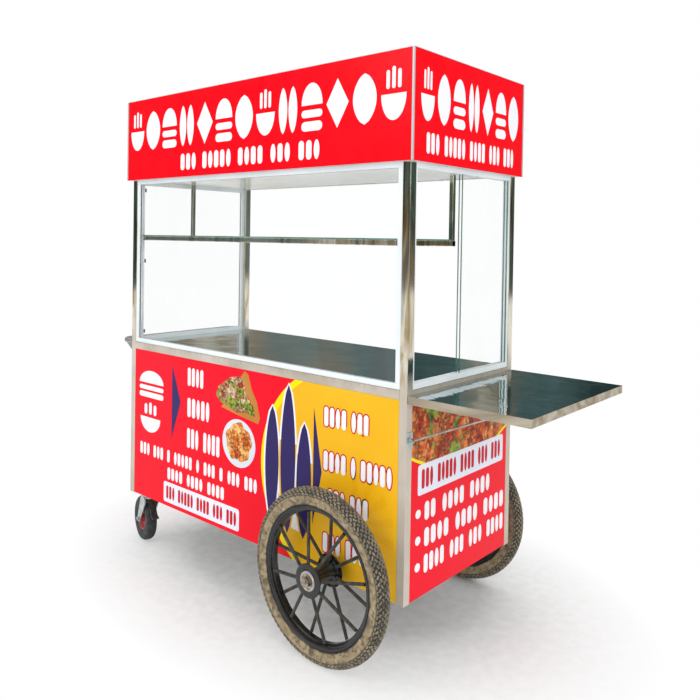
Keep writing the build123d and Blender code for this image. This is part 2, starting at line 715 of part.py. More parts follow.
for name, side in (("front_wheel", -1), ("rear_wheel", 1)):
    middle = side * wheel_y
    # sketch X is the radius and sketch Y runs along the axle
    section = Plane(origin=(axle_x, middle, axle_z), x_dir=(1, 0, 0), z_dir=(0, 0, 1))

    with BuildPart() as tyre:
        with BuildSketch(section):
            with BuildLine():
                Polyline((shoulder, bead), (rim_well + joint_gap, bead),
                         (rim_well + joint_gap, -bead), (shoulder, -bead))
                ThreePointArc((shoulder, -bead), (bulge, -half_tyre), (tread, -tread_half))
                ThreePointArc((tread, -tread_half), (wheel_radius, 0), (tread, tread_half))
                ThreePointArc((tread, tread_half), (bulge, half_tyre), (shoulder, bead))
            make_face()
        revolve(axis=axle_line)
    save(tyre.part, f"{name}_tyre")

    with BuildPart() as rim:
        with BuildSketch(section):
            with Locations((rim_well - rim_wall / 2, 0)):
                Rectangle(rim_wall, rim_width)
            for y in (-half_rim + rim_wall / 2, half_rim - rim_wall / 2):
                with Locations((rim_edge - rim_flange / 2, y)):
                    Rectangle(rim_flange, rim_wall)
        revolve(axis=axle_line)
    save(rim.part, f"{name}_rim")

    with BuildPart() as spokes:
        for end, half_step in ((-1, 0), (1, 0.5)):
            for i in range(spokes_per_side):
                angle = radians(360 / spokes_per_side * (i + spoke_turn + half_step))
                ends = [(axle_x + r * cos(angle), middle + end * y, axle_z + r * sin(angle))
                        for r, y in ((hub_flange_radius - spoke_seat, spoke_start),
                                     (rim_well, spoke_spread * half_rim))]
                round_bar(ends[0], ends[1], spoke_radius)
        with Locations(Location((axle_x, middle, axle_z), (90, 0, 0))):
            Cylinder(rim_well - rim_wall, hub_width, mode=Mode.INTERSECT)
    save(spokes.part, f"{name}_spokes")

    with BuildPart() as hub:
        with BuildSketch(section):
            with BuildLine():
                seat_end = half_hub - bearing_width
                flange_back = half_hub - hub_flange
                Polyline((bearing_seat, half_hub), (hub_flange_radius, half_hub),
                         (hub_flange_radius, flange_back), (hub_radius, flange_back),
                         (hub_radius, -flange_back), (hub_flange_radius, -flange_back),
                         (hub_flange_radius, -half_hub), (bearing_seat, -half_hub),
                         (bearing_seat, -seat_end), (hub_bore, -seat_end), (hub_bore, seat_end),
                         (bearing_seat, seat_end), close=True)
            make_face()
        revolve(axis=axle_line)
    save(hub.part, f"{name}_hub")

# ================================================================ casters
caster_x = left_x + caster_inset_x
caster_y = half_depth - caster_inset_y
race_top = cabinet_bottom - caster_plate
race_bottom = race_top - race_height
crown_top = race_bottom - crown_gap
crown_under = crown_top - crown
leg_inner = caster_width / 2 + caster_leg_gap
leg_outer = leg_inner + caster_leg
tyre_seat = caster_rim_radius + joint_gap
pin_top = race_top - crown_gap
leg_front = brake_x + leg_lead
brake_z = crown_under - brake_drop
brake_half = leg_inner - brake_gap
shoe_x = brake_x - shoe_half
shoe_z = caster_radius + sqrt((caster_radius + shoe_gap) ** 2 - (caster_trail + shoe_x) ** 2)

with BuildPart() as caster_heads:
    for y in (-caster_y, caster_y):
        with Locations((caster_x, y, (race_top + cabinet_bottom) / 2)):
            Box(*caster_plate_size, caster_plate)
        round_bar((caster_x, y, race_bottom), (caster_x, y, race_top), race_radius)
        round_bar((caster_x, y, race_bottom), (caster_x, y, race_top),
                  kingpin_radius + running_gap, Mode.SUBTRACT)
save(caster_heads.part, "caster_heads")

with BuildPart() as frame_bolts:
    for side in (-1, 1):
        for x in (axle_x - clamp_bolt_x, axle_x + clamp_bolt_x):
            hex_bar((x, side * (clamp_y[0] + clamp_y[1]) / 2, rail_top + clamp_foot), (0, 0, 1),
                    bolt_width, bolt_head)
    for y in (-caster_y, caster_y):
        with GridLocations(*caster_bolts, 2, 2) as grid:
            corners = [(place.position.X, place.position.Y) for place in grid.locations]
        for dx, dy in corners:
            hex_bar((caster_x + dx, y + dy, race_top), (0, 0, -1), bolt_width, bolt_head)
save(frame_bolts.part, "frame_bolts")

# each caster is drawn with its swivel line on Z, then set in its place at its yaw
for name, side in (("front_caster", -1), ("rear_caster", 1)):
    place = Location((caster_x, side * caster_y, 0), (0, 0, -caster_yaw))

    with BuildPart() as fork:
        with Locations((0, 0, crown_top - crown / 2)):
            Cylinder(leg_outer, crown)
        with Locations((0, 0, (crown_top + pin_top) / 2)):
            Cylinder(kingpin_radius, pin_top - crown_top)
        # the leg: wide under the crown, then tapering down to a rounded end round the axle
        leg = [(-leg_back, crown_under), (leg_front, crown_under),
               (leg_front, brake_z - leg_under_brake)]
        leg += [(x - caster_trail, z + caster_radius) for x, z in leg_foot]
        upright_plate(leg, -leg_outer, -leg_inner)
        upright_plate(leg, leg_inner, leg_outer)
        block((-crown_half, crown_half), (-leg_outer, leg_outer), (crown_under, crown_top))
        across(-caster_trail, (-leg_outer, leg_outer), caster_radius, caster_axle_radius,
               Mode.SUBTRACT)
        across(brake_x, (-leg_outer, leg_outer), brake_z, brake_pin_radius, Mode.SUBTRACT)
    with BuildPart() as axle_bolt:
        bolt_half = leg_outer + bolt_past_leg
        pin_half = leg_outer + pin_past_leg
        across(-caster_trail, (-bolt_half, bolt_half), caster_radius, caster_axle_radius)
        for out in (-1, 1):
            hex_bar((-caster_trail, out * leg_outer, caster_radius), (0, out, 0),
                    caster_nut_width, caster_nut_height)
        across(brake_x, (-pin_half, pin_half), brake_z, brake_pin_radius)
    save(place * Compound(children=[fork.part, axle_bolt.part]), f"{name}_fork")

    caster_line = Axis((-caster_trail, 0, caster_radius), (0, 1, 0))
    half_width = caster_width / 2
    rim_face = half_width - rim_lip - rim_setback
    section = Plane(origin=(-caster_trail, 0, caster_radius), x_dir=(1, 0, 0), z_dir=(0, 0, 1))
    with BuildPart() as caster_tyre:
        with BuildSketch(section):
            with BuildLine():
                wall_x = caster_radius - caster_wall
                Polyline((wall_x, half_width), (tyre_seat, rim_face), (tyre_seat, -rim_face),
                         (wall_x, -half_width))
                ThreePointArc((wall_x, -half_width), (caster_radius, 0), (wall_x, half_width))
            make_face()
        revolve(axis=caster_line)
    save(place * caster_tyre.part, f"{name}_tyre")

    with BuildPart() as caster_rim:
        with BuildSketch(section):
            with BuildLine():
                bore = caster_axle_radius + running_gap
                web_start = caster_boss + rim_lip
                web_end = caster_rim_radius - 2 * rim_lip
                lip = caster_rim_radius - rim_lip
                half = [(bore, half_width), (caster_boss, half_width), (web_start, caster_dish),
                        (web_end, caster_dish), (lip, rim_face), (caster_rim_radius, rim_face)]
                Polyline(*half, *((r, -a) for r, a in reversed(half)), close=True)
            make_face()
        revolve(axis=caster_line)
    save(place * caster_rim.part, f"{name}_rim")

    with BuildPart() as brake:
        across(brake_x, (-brake_half, brake_half), brake_z, brake_radius)
        # the pedal runs down in front of the tyre and ends in a foot plate
        upright_plate([(x + brake_x, z + brake_z) for x, z in pedal], -brake_pad_half, brake_pad_half)
        upright_plate(((brake_x - brake_root, brake_z), (shoe_x, shoe_z),
                       (brake_x + shoe_half, shoe_z), (brake_x + brake_root, brake_z)),
                      -brake_pad_half, brake_pad_half)
        across(brake_x, (-brake_half - overrun, brake_half + overrun), brake_z,
               brake_pin_radius + running_gap, Mode.SUBTRACT)
    save(place * brake.part, f"{name}_brake")
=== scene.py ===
"""The push vending cart's visual model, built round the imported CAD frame. Metres."""
import json
import random
from math import cos, pi, radians, sin, sqrt

import bmesh
import bpy
from mathutils import Matrix, Vector


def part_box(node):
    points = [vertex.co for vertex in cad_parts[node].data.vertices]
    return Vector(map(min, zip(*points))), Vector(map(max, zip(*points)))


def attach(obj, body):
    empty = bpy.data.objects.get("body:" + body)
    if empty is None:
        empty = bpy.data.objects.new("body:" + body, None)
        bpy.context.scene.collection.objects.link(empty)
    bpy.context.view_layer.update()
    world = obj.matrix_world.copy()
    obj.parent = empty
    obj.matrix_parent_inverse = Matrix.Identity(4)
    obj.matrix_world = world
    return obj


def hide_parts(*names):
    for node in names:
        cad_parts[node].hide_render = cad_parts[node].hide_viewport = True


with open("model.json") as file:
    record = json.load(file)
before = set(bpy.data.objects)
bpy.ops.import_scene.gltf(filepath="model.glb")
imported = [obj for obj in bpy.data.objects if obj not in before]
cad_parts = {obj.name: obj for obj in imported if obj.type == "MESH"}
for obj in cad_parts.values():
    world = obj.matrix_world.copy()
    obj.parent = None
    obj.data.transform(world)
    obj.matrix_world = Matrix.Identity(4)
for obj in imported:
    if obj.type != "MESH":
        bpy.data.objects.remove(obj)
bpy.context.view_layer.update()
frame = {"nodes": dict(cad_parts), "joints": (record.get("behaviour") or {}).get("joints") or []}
scene = bpy.context.scene
scene.view_settings.view_transform = "Standard"
rng = random.Random(7)
mm = 0.001
ALONG, ACROSS, UP = Vector((1, 0, 0)), Vector((0, 1, 0)), Vector((0, 0, 1))


# ---------------------------------------------------------------- places from the frame
def low(node):
    return Vector(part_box(node)[0])


def high(node):
    return Vector(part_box(node)[1])


def centre(node):
    return (low(node) + high(node)) / 2


def radius_of(node):
    """Half the height of a node that turns about a level line."""
    return (high(node).z - low(node).z) / 2


def half_width_of(node):
    return (high(node).y - low(node).y) / 2


cart_left, cart_right = low("corner_posts").x, high("corner_posts").x
mid_x = (cart_left + cart_right) / 2
counter_height = high("counter_rails").z


# ---------------------------------------------------------------- colours and node helpers
def srgb(red, green, blue):
    """A linear colour from 0-255 values."""
    def linear(value):
        share = value / 255
        return share / 12.92 if share <= 0.04045 else ((share + 0.055) / 1.055) ** 2.4
    return (linear(red), linear(green), linear(blue), 1.0)


def fill_ramp(ramp, stops):
    """Give a colour ramp its (position, colour) stops."""
    while len(ramp.elements) < len(stops):
        ramp.elements.new(0.5)
    for element, (position, colour) in zip(ramp.elements, stops):
        element.position = position
        element.color = colour


class Paint:
    """A material with short ways to add the nodes that vary its colour, roughness and height."""

    def __init__(self, name, roughness=0.5, metallic=0.0, **sockets):
        self.material = bpy.data.materials.new(name)
        self.material.use_nodes = True
        self.nodes = self.material.node_tree.nodes
        self.links = self.material.node_tree.links
        self.shader = self.nodes["Principled BSDF"]
        self.shader.inputs["Roughness"].default_value = roughness
        self.shader.inputs["Metallic"].default_value = metallic
        for socket, value in sockets.items():
            self.shader.inputs[socket.replace("_", " ")].default_value = value
        self.coords = self.nodes.new("ShaderNodeTexCoord")

    def place(self, stretch=(1, 1, 1)):
        mapping = self.nodes.new("ShaderNodeMapping")
        mapping.inputs["Scale"].default_value = stretch
        self.links.new(self.coords.outputs["Object"], mapping.inputs["Vector"])
        return mapping.outputs["Vector"]

    def noise(self, scale, detail=4.0, stretch=(1, 1, 1), distortion=0.0):
        node = self.nodes.new("ShaderNodeTexNoise")
        node.inputs["Scale"].default_value = scale
        node.inputs["Detail"].default_value = detail
        node.inputs["Distortion"].default_value = distortion
        self.links.new(self.place(stretch), node.inputs["Vector"])
        return node.outputs["Fac"]

    def warped(self, stretch, scale, amount):
        """The object's coordinates, pushed about by a noise."""
        push = self.nodes.new("ShaderNodeVectorMath")
        push.operation = "MULTIPLY_ADD"
        push.inputs[1].default_value = (amount, amount, amount)
        noise = self.nodes.new("ShaderNodeTexNoise")
        noise.inputs["Scale"].default_value = scale
        at = self.place(stretch)
        self.links.new(at, noise.inputs["Vector"])
        self.links.new(noise.outputs["Color"], push.inputs[0])
        self.links.new(at, push.inputs[2])
        return push.outputs["Vector"]

    def cells(self, vector, scale, feature="F1", output="Color"):
        node = self.nodes.new("ShaderNodeTexVoronoi")
        node.feature = feature
        node.inputs["Scale"].default_value = scale
        self.links.new(vector, node.inputs["Vector"])
        return node.outputs[output]

    def ramp(self, source, stops):
        node = self.nodes.new("ShaderNodeValToRGB")
        fill_ramp(node.color_ramp, stops)
        self.links.new(source, node.inputs["Fac"])
        return node.outputs["Color"]

    def spread(self, source, start, end, out_start=0.0, out_end=1.0):
        node = self.nodes.new("ShaderNodeMapRange")
        for socket, value in zip(("From Min", "From Max", "To Min", "To Max"),
                                 (start, end, out_start, out_end)):
            node.inputs[socket].default_value = value
        self.links.new(source, node.inputs["Value"])
        return node.outputs["Result"]

    def maths(self, operation, first, second=None):
        node = self.nodes.new("ShaderNodeMath")
        node.operation = operation
        for socket, value in zip(node.inputs, (first, second)):
            if isinstance(value, (int, float)):
                socket.default_value = value
            elif value is not None:
                self.links.new(value, socket)
        return node.outputs["Value"]

    def mix(self, share, first, second):
        node = self.nodes.new("ShaderNodeMix")
        node.data_type = "RGBA"
        sockets = [s for s in node.inputs if s.type == "RGBA"]
        for socket, value in ((node.inputs["Factor"], share), (sockets[0], first), (sockets[1], second)):
            if isinstance(value, (int, float, tuple)):
                socket.default_value = value
            else:
                self.links.new(value, socket)
        return next(s for s in node.outputs if s.type == "RGBA")

    def axis(self, letter, output="Object"):
        node = self.nodes.new("ShaderNodeSeparateXYZ")
        self.links.new(self.coords.outputs[output], node.inputs["Vector"])
        return node.outputs[letter]

    def colour(self, source):
        self.links.new(source, self.shader.inputs["Base Color"])

    def rough(self, source):
        self.links.new(source, self.shader.inputs["Roughness"])

    def bump(self, source, strength, distance):
        node = self.nodes.new("ShaderNodeBump")
        node.inputs["Strength"].default_value = strength
        node.inputs["Distance"].default_value = distance
        self.links.new(source, node.inputs["Height"])
        self.links.new(node.outputs["Normal"], self.shader.inputs["Normal"])


# ---------------------------------------------------------------- materials
NOISE_LOW, NOISE_HIGH = 0.3, 0.7    # most of a noise's values lie between these
FINER = 9                           # fine relief against the drift of colour
PRINT_DRIFT = 2.5
PRINT_ROUGHNESS = 0.22
PRINT_SPECULAR = 0.12               # printed film glints little
SHEET_LIGHT, SHEET_DARK = srgb(206, 206, 202), srgb(178, 180, 178)
SHEET_ROUGHNESS = 0.36
SHEET_METAL = 0.8


def tinted(name, light, dark, scale, roughness, spread=0.08, metallic=0.0, height=0.1, depth=0.0003,
           stretch=(1, 1, 1), **sockets):
    """A surface that wanders between two colours, with its roughness and fine relief."""
    paint = Paint(name, roughness, metallic, **sockets)
    drift = paint.noise(scale, 5.0, stretch)
    fine = paint.noise(scale * FINER, 3.0, stretch)
    paint.colour(paint.ramp(drift, ((NOISE_LOW, dark), (NOISE_HIGH, light))))
    paint.rough(paint.spread(fine, NOISE_LOW, NOISE_HIGH, roughness - spread, roughness + spread))
    paint.bump(fine, height, depth)
    return paint.material


def film_steel(name, stretch, mirror_from):
    """Square tube: mirror bright high up, where its colour carries painted reflections in upright
    streaks, hazed by its protective film lower down.
    """
    fade_from, fade_to = mirror_from - 0.02, mirror_from + 0.06
    paint = Paint(name, 0.3, 1.0)
    grain = paint.noise(60, 3.0, stretch)
    reflection_streaks = paint.noise(26, 4.0, (1, 1, 0.12), 0.8)
    clouds = paint.noise(5, 4.0, (1, 1, 0.8), 0.6)
    # painted reflection: dark green-grey, beige and near-white upright streaks in the mirror part's
    # colour, over the steel's own grey
    painted_reflection = paint.ramp(reflection_streaks, ((0.3, srgb(104, 112, 106)), (0.42, srgb(178, 160, 124)),
                                  (0.54, srgb(226, 220, 204)), (0.7, srgb(140, 142, 138))))
    hazed = paint.ramp(clouds, ((NOISE_LOW, srgb(186, 174, 158)), (NOISE_HIGH, srgb(214, 206, 194))))
    share = paint.spread(paint.axis("Z"), fade_from, fade_to)
    paint.colour(paint.mix(share, hazed, painted_reflection))
    paint.rough(paint.spread(share, 0, 1, 0.5, 0.09))
    paint.links.new(paint.spread(share, 0, 1, 0.25, 1.0), paint.shader.inputs["Metallic"])
    paint.bump(grain, 0.06, 0.0002)
    return paint.material


def mirror_sheet(name, roughness):
    """Polished sheet with a slightly wavy face and a hazed, folded rim; the face's colour, steel with a
    teal-grey wander that follows the waves and streaks, carries a painted reflection.
    """
    paint = Paint(name, 0.1, 1.0)
    waves = paint.noise(5.5, 4.0, (1, 1, 1), 1.4)
    streaks = paint.noise(14, 4.0, (0.25, 1, 1), 1.5)
    # painted reflection: the face colour wanders between teal greys with the waves and streaks
    face = paint.ramp(paint.maths("ADD", paint.maths("MULTIPLY", waves, 0.6),
                                  paint.maths("MULTIPLY", streaks, 0.4)),
                      ((0.3, srgb(160, 178, 178)), (0.48, srgb(188, 200, 200)),
                       (0.62, srgb(212, 220, 220))))
    rim = paint.ramp(streaks, ((0.35, srgb(158, 144, 120)), (0.65, srgb(206, 196, 178))))
    upright = paint.maths("GREATER_THAN", paint.axis("Z", "Normal"), 0.5)
    paint.colour(paint.mix(upright, rim, face))
    paint.rough(paint.spread(upright, 0, 1, 0.42, roughness))
    paint.bump(waves, 0.34, 0.006)
    return paint.material


def printed(name, light, dark, roughness=PRINT_ROUGHNESS):
    """Glossy printed sheet with a faint cloudiness and orange peel."""
    return tinted(name, light, dark, PRINT_DRIFT, roughness, 0.04, height=0.03, depth=0.0002,
                  Specular_IOR_Level=PRINT_SPECULAR)


def outside_print(name, light, dark):
    """A cabinet panel: printed on the side that faces away from the cabinet, bare sheet inside."""
    paint = Paint(name)
    drift = paint.noise(PRINT_DRIFT, 5.0)
    fine = paint.noise(22, 3.0)
    from_middle = paint.maths("SUBTRACT", paint.axis("X"), mid_x)
    away = paint.maths("ADD", paint.maths("MULTIPLY", from_middle, paint.axis("X", "Normal")),
                       paint.maths("MULTIPLY", paint.axis("Y"), paint.axis("Y", "Normal")))
    outside = paint.maths("GREATER_THAN", away, 0.0)
    print_colour = paint.ramp(drift, ((NOISE_LOW, dark), (NOISE_HIGH, light)))
    bare = paint.ramp(drift, ((NOISE_LOW, SHEET_DARK), (NOISE_HIGH, SHEET_LIGHT)))
    paint.colour(paint.mix(outside, bare, print_colour))
    paint.rough(paint.spread(outside, 0, 1, SHEET_ROUGHNESS, PRINT_ROUGHNESS))
    specular = paint.spread(outside, 0, 1, 0.5, PRINT_SPECULAR)
    paint.links.new(specular, paint.shader.inputs["Specular IOR Level"])
    paint.links.new(paint.spread(outside, 0, 1, SHEET_METAL, 0.0), paint.shader.inputs["Metallic"])
    paint.bump(fine, 0.03, 0.0002)
    return paint.material


def pane_glass(name, thin_axis):
    """Clear sheet glass whose cut edges show green."""
    edge_alpha = 0.9
    paint = Paint(name, 0.03, 0.0, IOR=1.5, Specular_IOR_Level=0.6)
    facing = paint.maths("ABSOLUTE", paint.axis(thin_axis, "Normal"))
    face = paint.maths("GREATER_THAN", facing, 0.5)
    smear = paint.noise(3.5, 4.0, (1, 1, 0.4), 1.0)
    green = paint.ramp(smear, ((NOISE_LOW, srgb(36, 92, 78)), (NOISE_HIGH, srgb(98, 150, 134))))
    clear = paint.ramp(smear, ((NOISE_LOW, srgb(222, 240, 236)), (NOISE_HIGH, srgb(240, 250, 248))))
    paint.colour(paint.mix(face, green, clear))
    haze = paint.spread(smear, 0.45, 0.8, 0.025, 0.055)
    cut_edge = paint.maths("SUBTRACT", 1.0, face)
    alpha = paint.maths("ADD", paint.maths("MULTIPLY", face, haze),
                        paint.maths("MULTIPLY", cut_edge, edge_alpha))
    paint.links.new(alpha, paint.shader.inputs["Alpha"])
    paint.rough(paint.spread(smear, 0.3, 0.8, 0.02, 0.07))
    return paint.material


def food_print(name, scale, palette, greens):
    """A printed picture of food, only as coloured morsels with herbs strewn over them."""
    paint = Paint(name, 0.24, 0.0, Specular_IOR_Level=PRINT_SPECULAR)
    swirl = paint.noise(scale * 2.4, 8.0, (1, 1, 1), 0.5)
    at = paint.warped((1, 1, 1.3), scale * 2.2, 1.6 / scale)
    random_tone = paint.nodes.new("ShaderNodeSeparateColor")
    paint.links.new(paint.cells(at, scale), random_tone.inputs["Color"])
    tone = paint.maths("ADD", paint.maths("MULTIPLY", random_tone.outputs[0], 0.35),
                       paint.maths("MULTIPLY", swirl, 0.75))
    base = paint.ramp(tone, palette)
    shine = paint.mix(paint.spread(swirl, 0.56, 0.7, 0.0, 0.55), base, srgb(255, 206, 140))
    gaps = paint.cells(at, scale, "DISTANCE_TO_EDGE", "Distance")
    dark = paint.mix(paint.spread(gaps, 0.0, 0.14, 0.75, 0.0), shine, srgb(60, 18, 10))
    herbs = paint.noise(scale * 0.7, 6.0, (1, 1, 1), 1.0)
    leaf_colour = paint.ramp(swirl, ((0.35, srgb(48, 66, 20)), (0.6, srgb(158, 172, 60))))
    paint.colour(paint.mix(paint.spread(herbs, greens, greens + 0.03), dark, leaf_colour))
    paint.rough(paint.spread(swirl, NOISE_LOW, NOISE_HIGH, 0.18, 0.3))
    return paint.material


def tyre_rubber(name, hub, bead, wall, shoulder):
    """Tyre carcass: black at the bead, a tan dusty sidewall, then dark up to the tread."""
    paint = Paint(name, 0.85)
    across = paint.maths("SUBTRACT", paint.axis("X"), hub.x)
    up = paint.maths("SUBTRACT", paint.axis("Z"), hub.z)
    radius = paint.maths("SQRT", paint.maths("ADD", paint.maths("MULTIPLY", across, across),
                                             paint.maths("MULTIPLY", up, up)))
    dust = paint.noise(34, 8.0, (1, 1, 1), 0.3)
    grit = paint.noise(120, 4.0)
    wobble = paint.maths("ADD", radius, paint.spread(dust, 0.2, 0.8, -0.004, 0.004))
    smears = paint.noise(85, 8.0, (1, 1, 1), 0.2)
    tan = paint.mix(paint.spread(smears, 0.50, 0.66, 0.0, 0.75),
                    paint.ramp(dust, ((0.34, srgb(108, 96, 76)), (0.44, srgb(146, 128, 98)),
                                      (0.66, srgb(176, 158, 126)))), srgb(70, 65, 56))
    dark = paint.ramp(grit, ((0.35, srgb(44, 43, 41)), (0.68, srgb(84, 78, 68))))
    inside = paint.mix(paint.spread(wobble, bead - 0.002, bead + 0.002), dark, tan)
    paint.colour(paint.mix(paint.spread(wobble, wall, shoulder), inside, dark))
    paint.rough(paint.spread(dust, NOISE_LOW, NOISE_HIGH, 0.72, 0.95))
    paint.bump(grit, 0.3, 0.0008)
    return paint.material


RED_SIGN = printed("red_sign", srgb(252, 0, 26), srgb(244, 0, 20))
RED_PANEL = outside_print("red_panel_print", srgb(248, 4, 40), srgb(240, 0, 30))
GOLD = printed("golden_print", srgb(250, 196, 40), srgb(240, 178, 24))
GOLD_RAY = printed("golden_ray_print", srgb(246, 188, 34), srgb(237, 172, 22))
YELLOW = printed("bright_yellow_print", srgb(255, 238, 0), srgb(250, 226, 0))
NAVY = printed("navy_print", srgb(62, 50, 110), srgb(44, 34, 92))
WHITE = printed("white_print", srgb(250, 250, 252), srgb(238, 240, 246), 0.3)
LABEL = printed("label_print", srgb(240, 242, 252), srgb(228, 232, 246), 0.3)
INK = printed("red_ink_print", srgb(214, 22, 44), srgb(196, 12, 34), 0.3)
PLATE = printed("plate_print", srgb(236, 240, 246), srgb(214, 222, 234), 0.3)
CRUST = printed("crust_print", srgb(214, 150, 74), srgb(176, 104, 40), 0.25)
POST = film_steel("post_steel", (14, 14, 0.6), counter_height)
RAIL = film_steel("rail_steel", (0.6, 14, 14), counter_height)
COUNTER = mirror_sheet("counter_mirror", 0.06)
TRAY = mirror_sheet("tray_mirror", 0.03)
SHEET = tinted("plain_sheet", SHEET_LIGHT, SHEET_DARK, 5, SHEET_ROUGHNESS, 0.08, SHEET_METAL, 0.06,
               stretch=(0.5, 0.5, 9))
CEILING = tinted("ceiling_sheet_steel", srgb(236, 236, 232), srgb(214, 214, 206), 3, 0.2, 0.06, 0.6)
ROD = tinted("rod_steel", srgb(206, 200, 188), srgb(150, 146, 138), 30, 0.3, 0.1, 1.0)
BRIGHT = tinted("machined_steel", srgb(196, 186, 176), srgb(128, 114, 102), 90, 0.34, 0.12, 1.0, 0.2)
CUP = tinted("bearing_steel", srgb(214, 210, 204), srgb(150, 142, 132), 60, 0.3, 0.1, 0.9, 0.15)
ZINC = tinted("zinc_plate", srgb(206, 214, 212), srgb(160, 170, 168), 40, 0.4, 0.1, 0.9, 0.15)
GREY_TUBE = tinted("grey_tube", srgb(176, 176, 176), srgb(136, 136, 138), 24, 0.42, 0.1, 0.8, 0.1)
WHITE_PROFILE = tinted("white_profile", srgb(244, 248, 250), srgb(226, 234, 238), 6, 0.32, 0.06,
                       height=0.03)
BAND = tinted("pale_channel", srgb(214, 216, 218), srgb(200, 203, 206), 5, 0.36, 0.05, 0.35)
CLIP = tinted("dark_clip", srgb(66, 74, 74), srgb(40, 46, 46), 60, 0.6)
BLACK = tinted("black_paint", srgb(34, 35, 36), srgb(14, 15, 16), 45, 0.22, 0.08, height=0.12,
               Specular_IOR_Level=0.35, Coat_Weight=0.25, Coat_Roughness=0.12)
DUSTY_BLACK = tinted("dusty_black_paint", srgb(78, 73, 64), srgb(30, 30, 30), 60, 0.5, 0.12,
                     height=0.3, Specular_IOR_Level=0.35)
TREAD = tinted("tread_rubber", srgb(160, 148, 124), srgb(88, 83, 74), 36, 0.88, 0.08, height=0.3,
               depth=0.0005)
CASTER_RUBBER = tinted("caster_rubber", srgb(70, 72, 76), srgb(36, 37, 40), 50, 0.72, 0.1, height=0.3)
RED_PAINT = tinted("red_paint", srgb(176, 44, 48), srgb(122, 26, 30), 40, 0.4, 0.1)
GLASS_Y = pane_glass("glass_facing_y", "Y")
GLASS_X = pane_glass("glass_facing_x", "X")
GLASS_Z = pane_glass("glass_facing_z", "Z")
STEW = food_print("stew_print", 12, ((0.22, srgb(86, 16, 10)), (0.36, srgb(164, 42, 16)),
                                     (0.5, srgb(212, 88, 30)), (0.64, srgb(236, 140, 66)),
                                     (0.8, srgb(120, 42, 20))), 0.58)
FILLING = food_print("filling_print", 34, ((0.25, srgb(96, 40, 26)), (0.4, srgb(190, 60, 36)),
                                           (0.52, srgb(236, 224, 190)), (0.64, srgb(176, 104, 60)),
                                           (0.8, srgb(120, 66, 40))), 0.5)
RICE = food_print("rice_print", 26, ((0.25, srgb(110, 34, 14)), (0.4, srgb(196, 84, 30)),
                                     (0.55, srgb(238, 150, 66)), (0.7, srgb(250, 196, 120))), 0.85)

NODE_PAINT = {
    "corner_posts": POST, "bottom_rails": RAIL, "counter_rails": RAIL, "roof_beams": RAIL,
    "shelf_frame": RAIL, "door_tracks": SHEET, "cabinet_floor": SHEET, "rear_door_left": SHEET,
    "rear_door_right": SHEET, "counter_top": COUNTER, "tray_top": TRAY, "ceiling_sheet": CEILING,
    "front_panel": RED_PANEL, "end_panels": RED_PANEL, "rear_skirt": RED_PANEL,
    "sign_panels_long": RED_SIGN, "sign_panels_end": RED_SIGN, "sign_trims": BAND,
    "sign_frame": BAND, "roof_sheet": BAND, "window_frames": WHITE_PROFILE,
    "pane_tracks": WHITE_PROFILE, "front_glass": GLASS_Y, "left_glass": GLASS_X,
    "pane_outer": GLASS_X, "pane_inner": GLASS_X, "shelf_glass": GLASS_Z, "glass_clips": CLIP,
    "stay_catches": SHEET, "tray_hinge_fixed": SHEET, "tray_hinge_moving": SHEET,
    "stay_brackets": ZINC, "tray_pins": BRIGHT, "tray_stay_front": ROD, "tray_stay_rear": ROD,
    "push_handle": GREY_TUBE, "wheel_axle": BRIGHT, "axle_nuts": BRIGHT, "wheel_bearings": BRIGHT,
    "axle_clamps": BLACK, "axle_collars": BLACK, "frame_bolts": ZINC, "caster_heads": ZINC,
}
for end in ("front", "rear"):
    NODE_PAINT.update({
        f"{end}_wheel_tyre": TREAD, f"{end}_wheel_rim": BLACK, f"{end}_wheel_spokes": DUSTY_BLACK,
        f"{end}_wheel_hub": BLACK, f"{end}_caster_fork": ZINC, f"{end}_caster_brake": DUSTY_BLACK,
        f"{end}_caster_tyre": CASTER_RUBBER, f"{end}_caster_rim": RED_PAINT})
for node, material in NODE_PAINT.items():
    slots = frame["nodes"][node].data.materials
    slots.clear()
    slots.append(material)


# ---------------------------------------------------------------- mesh helpers
def piece(name, mesh, material, body, smooth=30, replaces=()):
    """Link a mesh as a piece that rides on a body."""
    thing = bpy.data.objects.new(name, mesh)
    scene.collection.objects.link(thing)
    mesh.materials.clear()
    mesh.materials.append(material)
    if smooth:
        mesh.set_sharp_from_angle(angle=radians(smooth))
    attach(thing, body)
    if replaces:
        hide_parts(*replaces)
    return thing


def lathe(profile, hub, axis_x, axis_y, steps=96, closed=True):
    """A mesh that turns (radius, along) points round a line through hub along axis_y x axis_x."""
    normal = axis_x.cross(axis_y)
    shape = bmesh.new()
    rings = []
    for i in range(steps):
        turn = 2 * pi * i / steps
        out = axis_x * cos(turn) + axis_y * sin(turn)
        rings.append([shape.verts.new(hub + out * r + normal * a) for r, a in profile])
    count = len(profile)
    for i in range(steps):
        now, after = rings[i], rings[(i + 1) % steps]
        for j in range(count if closed else count - 1):
            k = (j + 1) % count
            shape.faces.new((now[j], now[k], after[k], after[j]))
    bmesh.ops.recalc_face_normals(shape, faces=shape.faces)
    mesh = bpy.data.meshes.new("lathe")
    shape.to_mesh(mesh)
    shape.free()
    for face in mesh.polygons:
        face.use_smooth = True
    return mesh


# ---------------------------------------------------------------- printed graphics
class Face:
    """A flat panel face: a corner, the directions across and up it, and its outward normal."""

    def __init__(self, corner, across, out):
        self.corner, self.across, self.out = Vector(corner), Vector(across), Vector(out)

    def matrix(self, lift):
        turn = Matrix((self.across, (0, 0, 1), self.out)).transposed().to_4x4()
        return Matrix.Translation(self.corner + self.out * lift) @ turn


INK_DEPTH = 0.25 * mm
CORNER_STEPS = 4
ARC_STEPS = 16


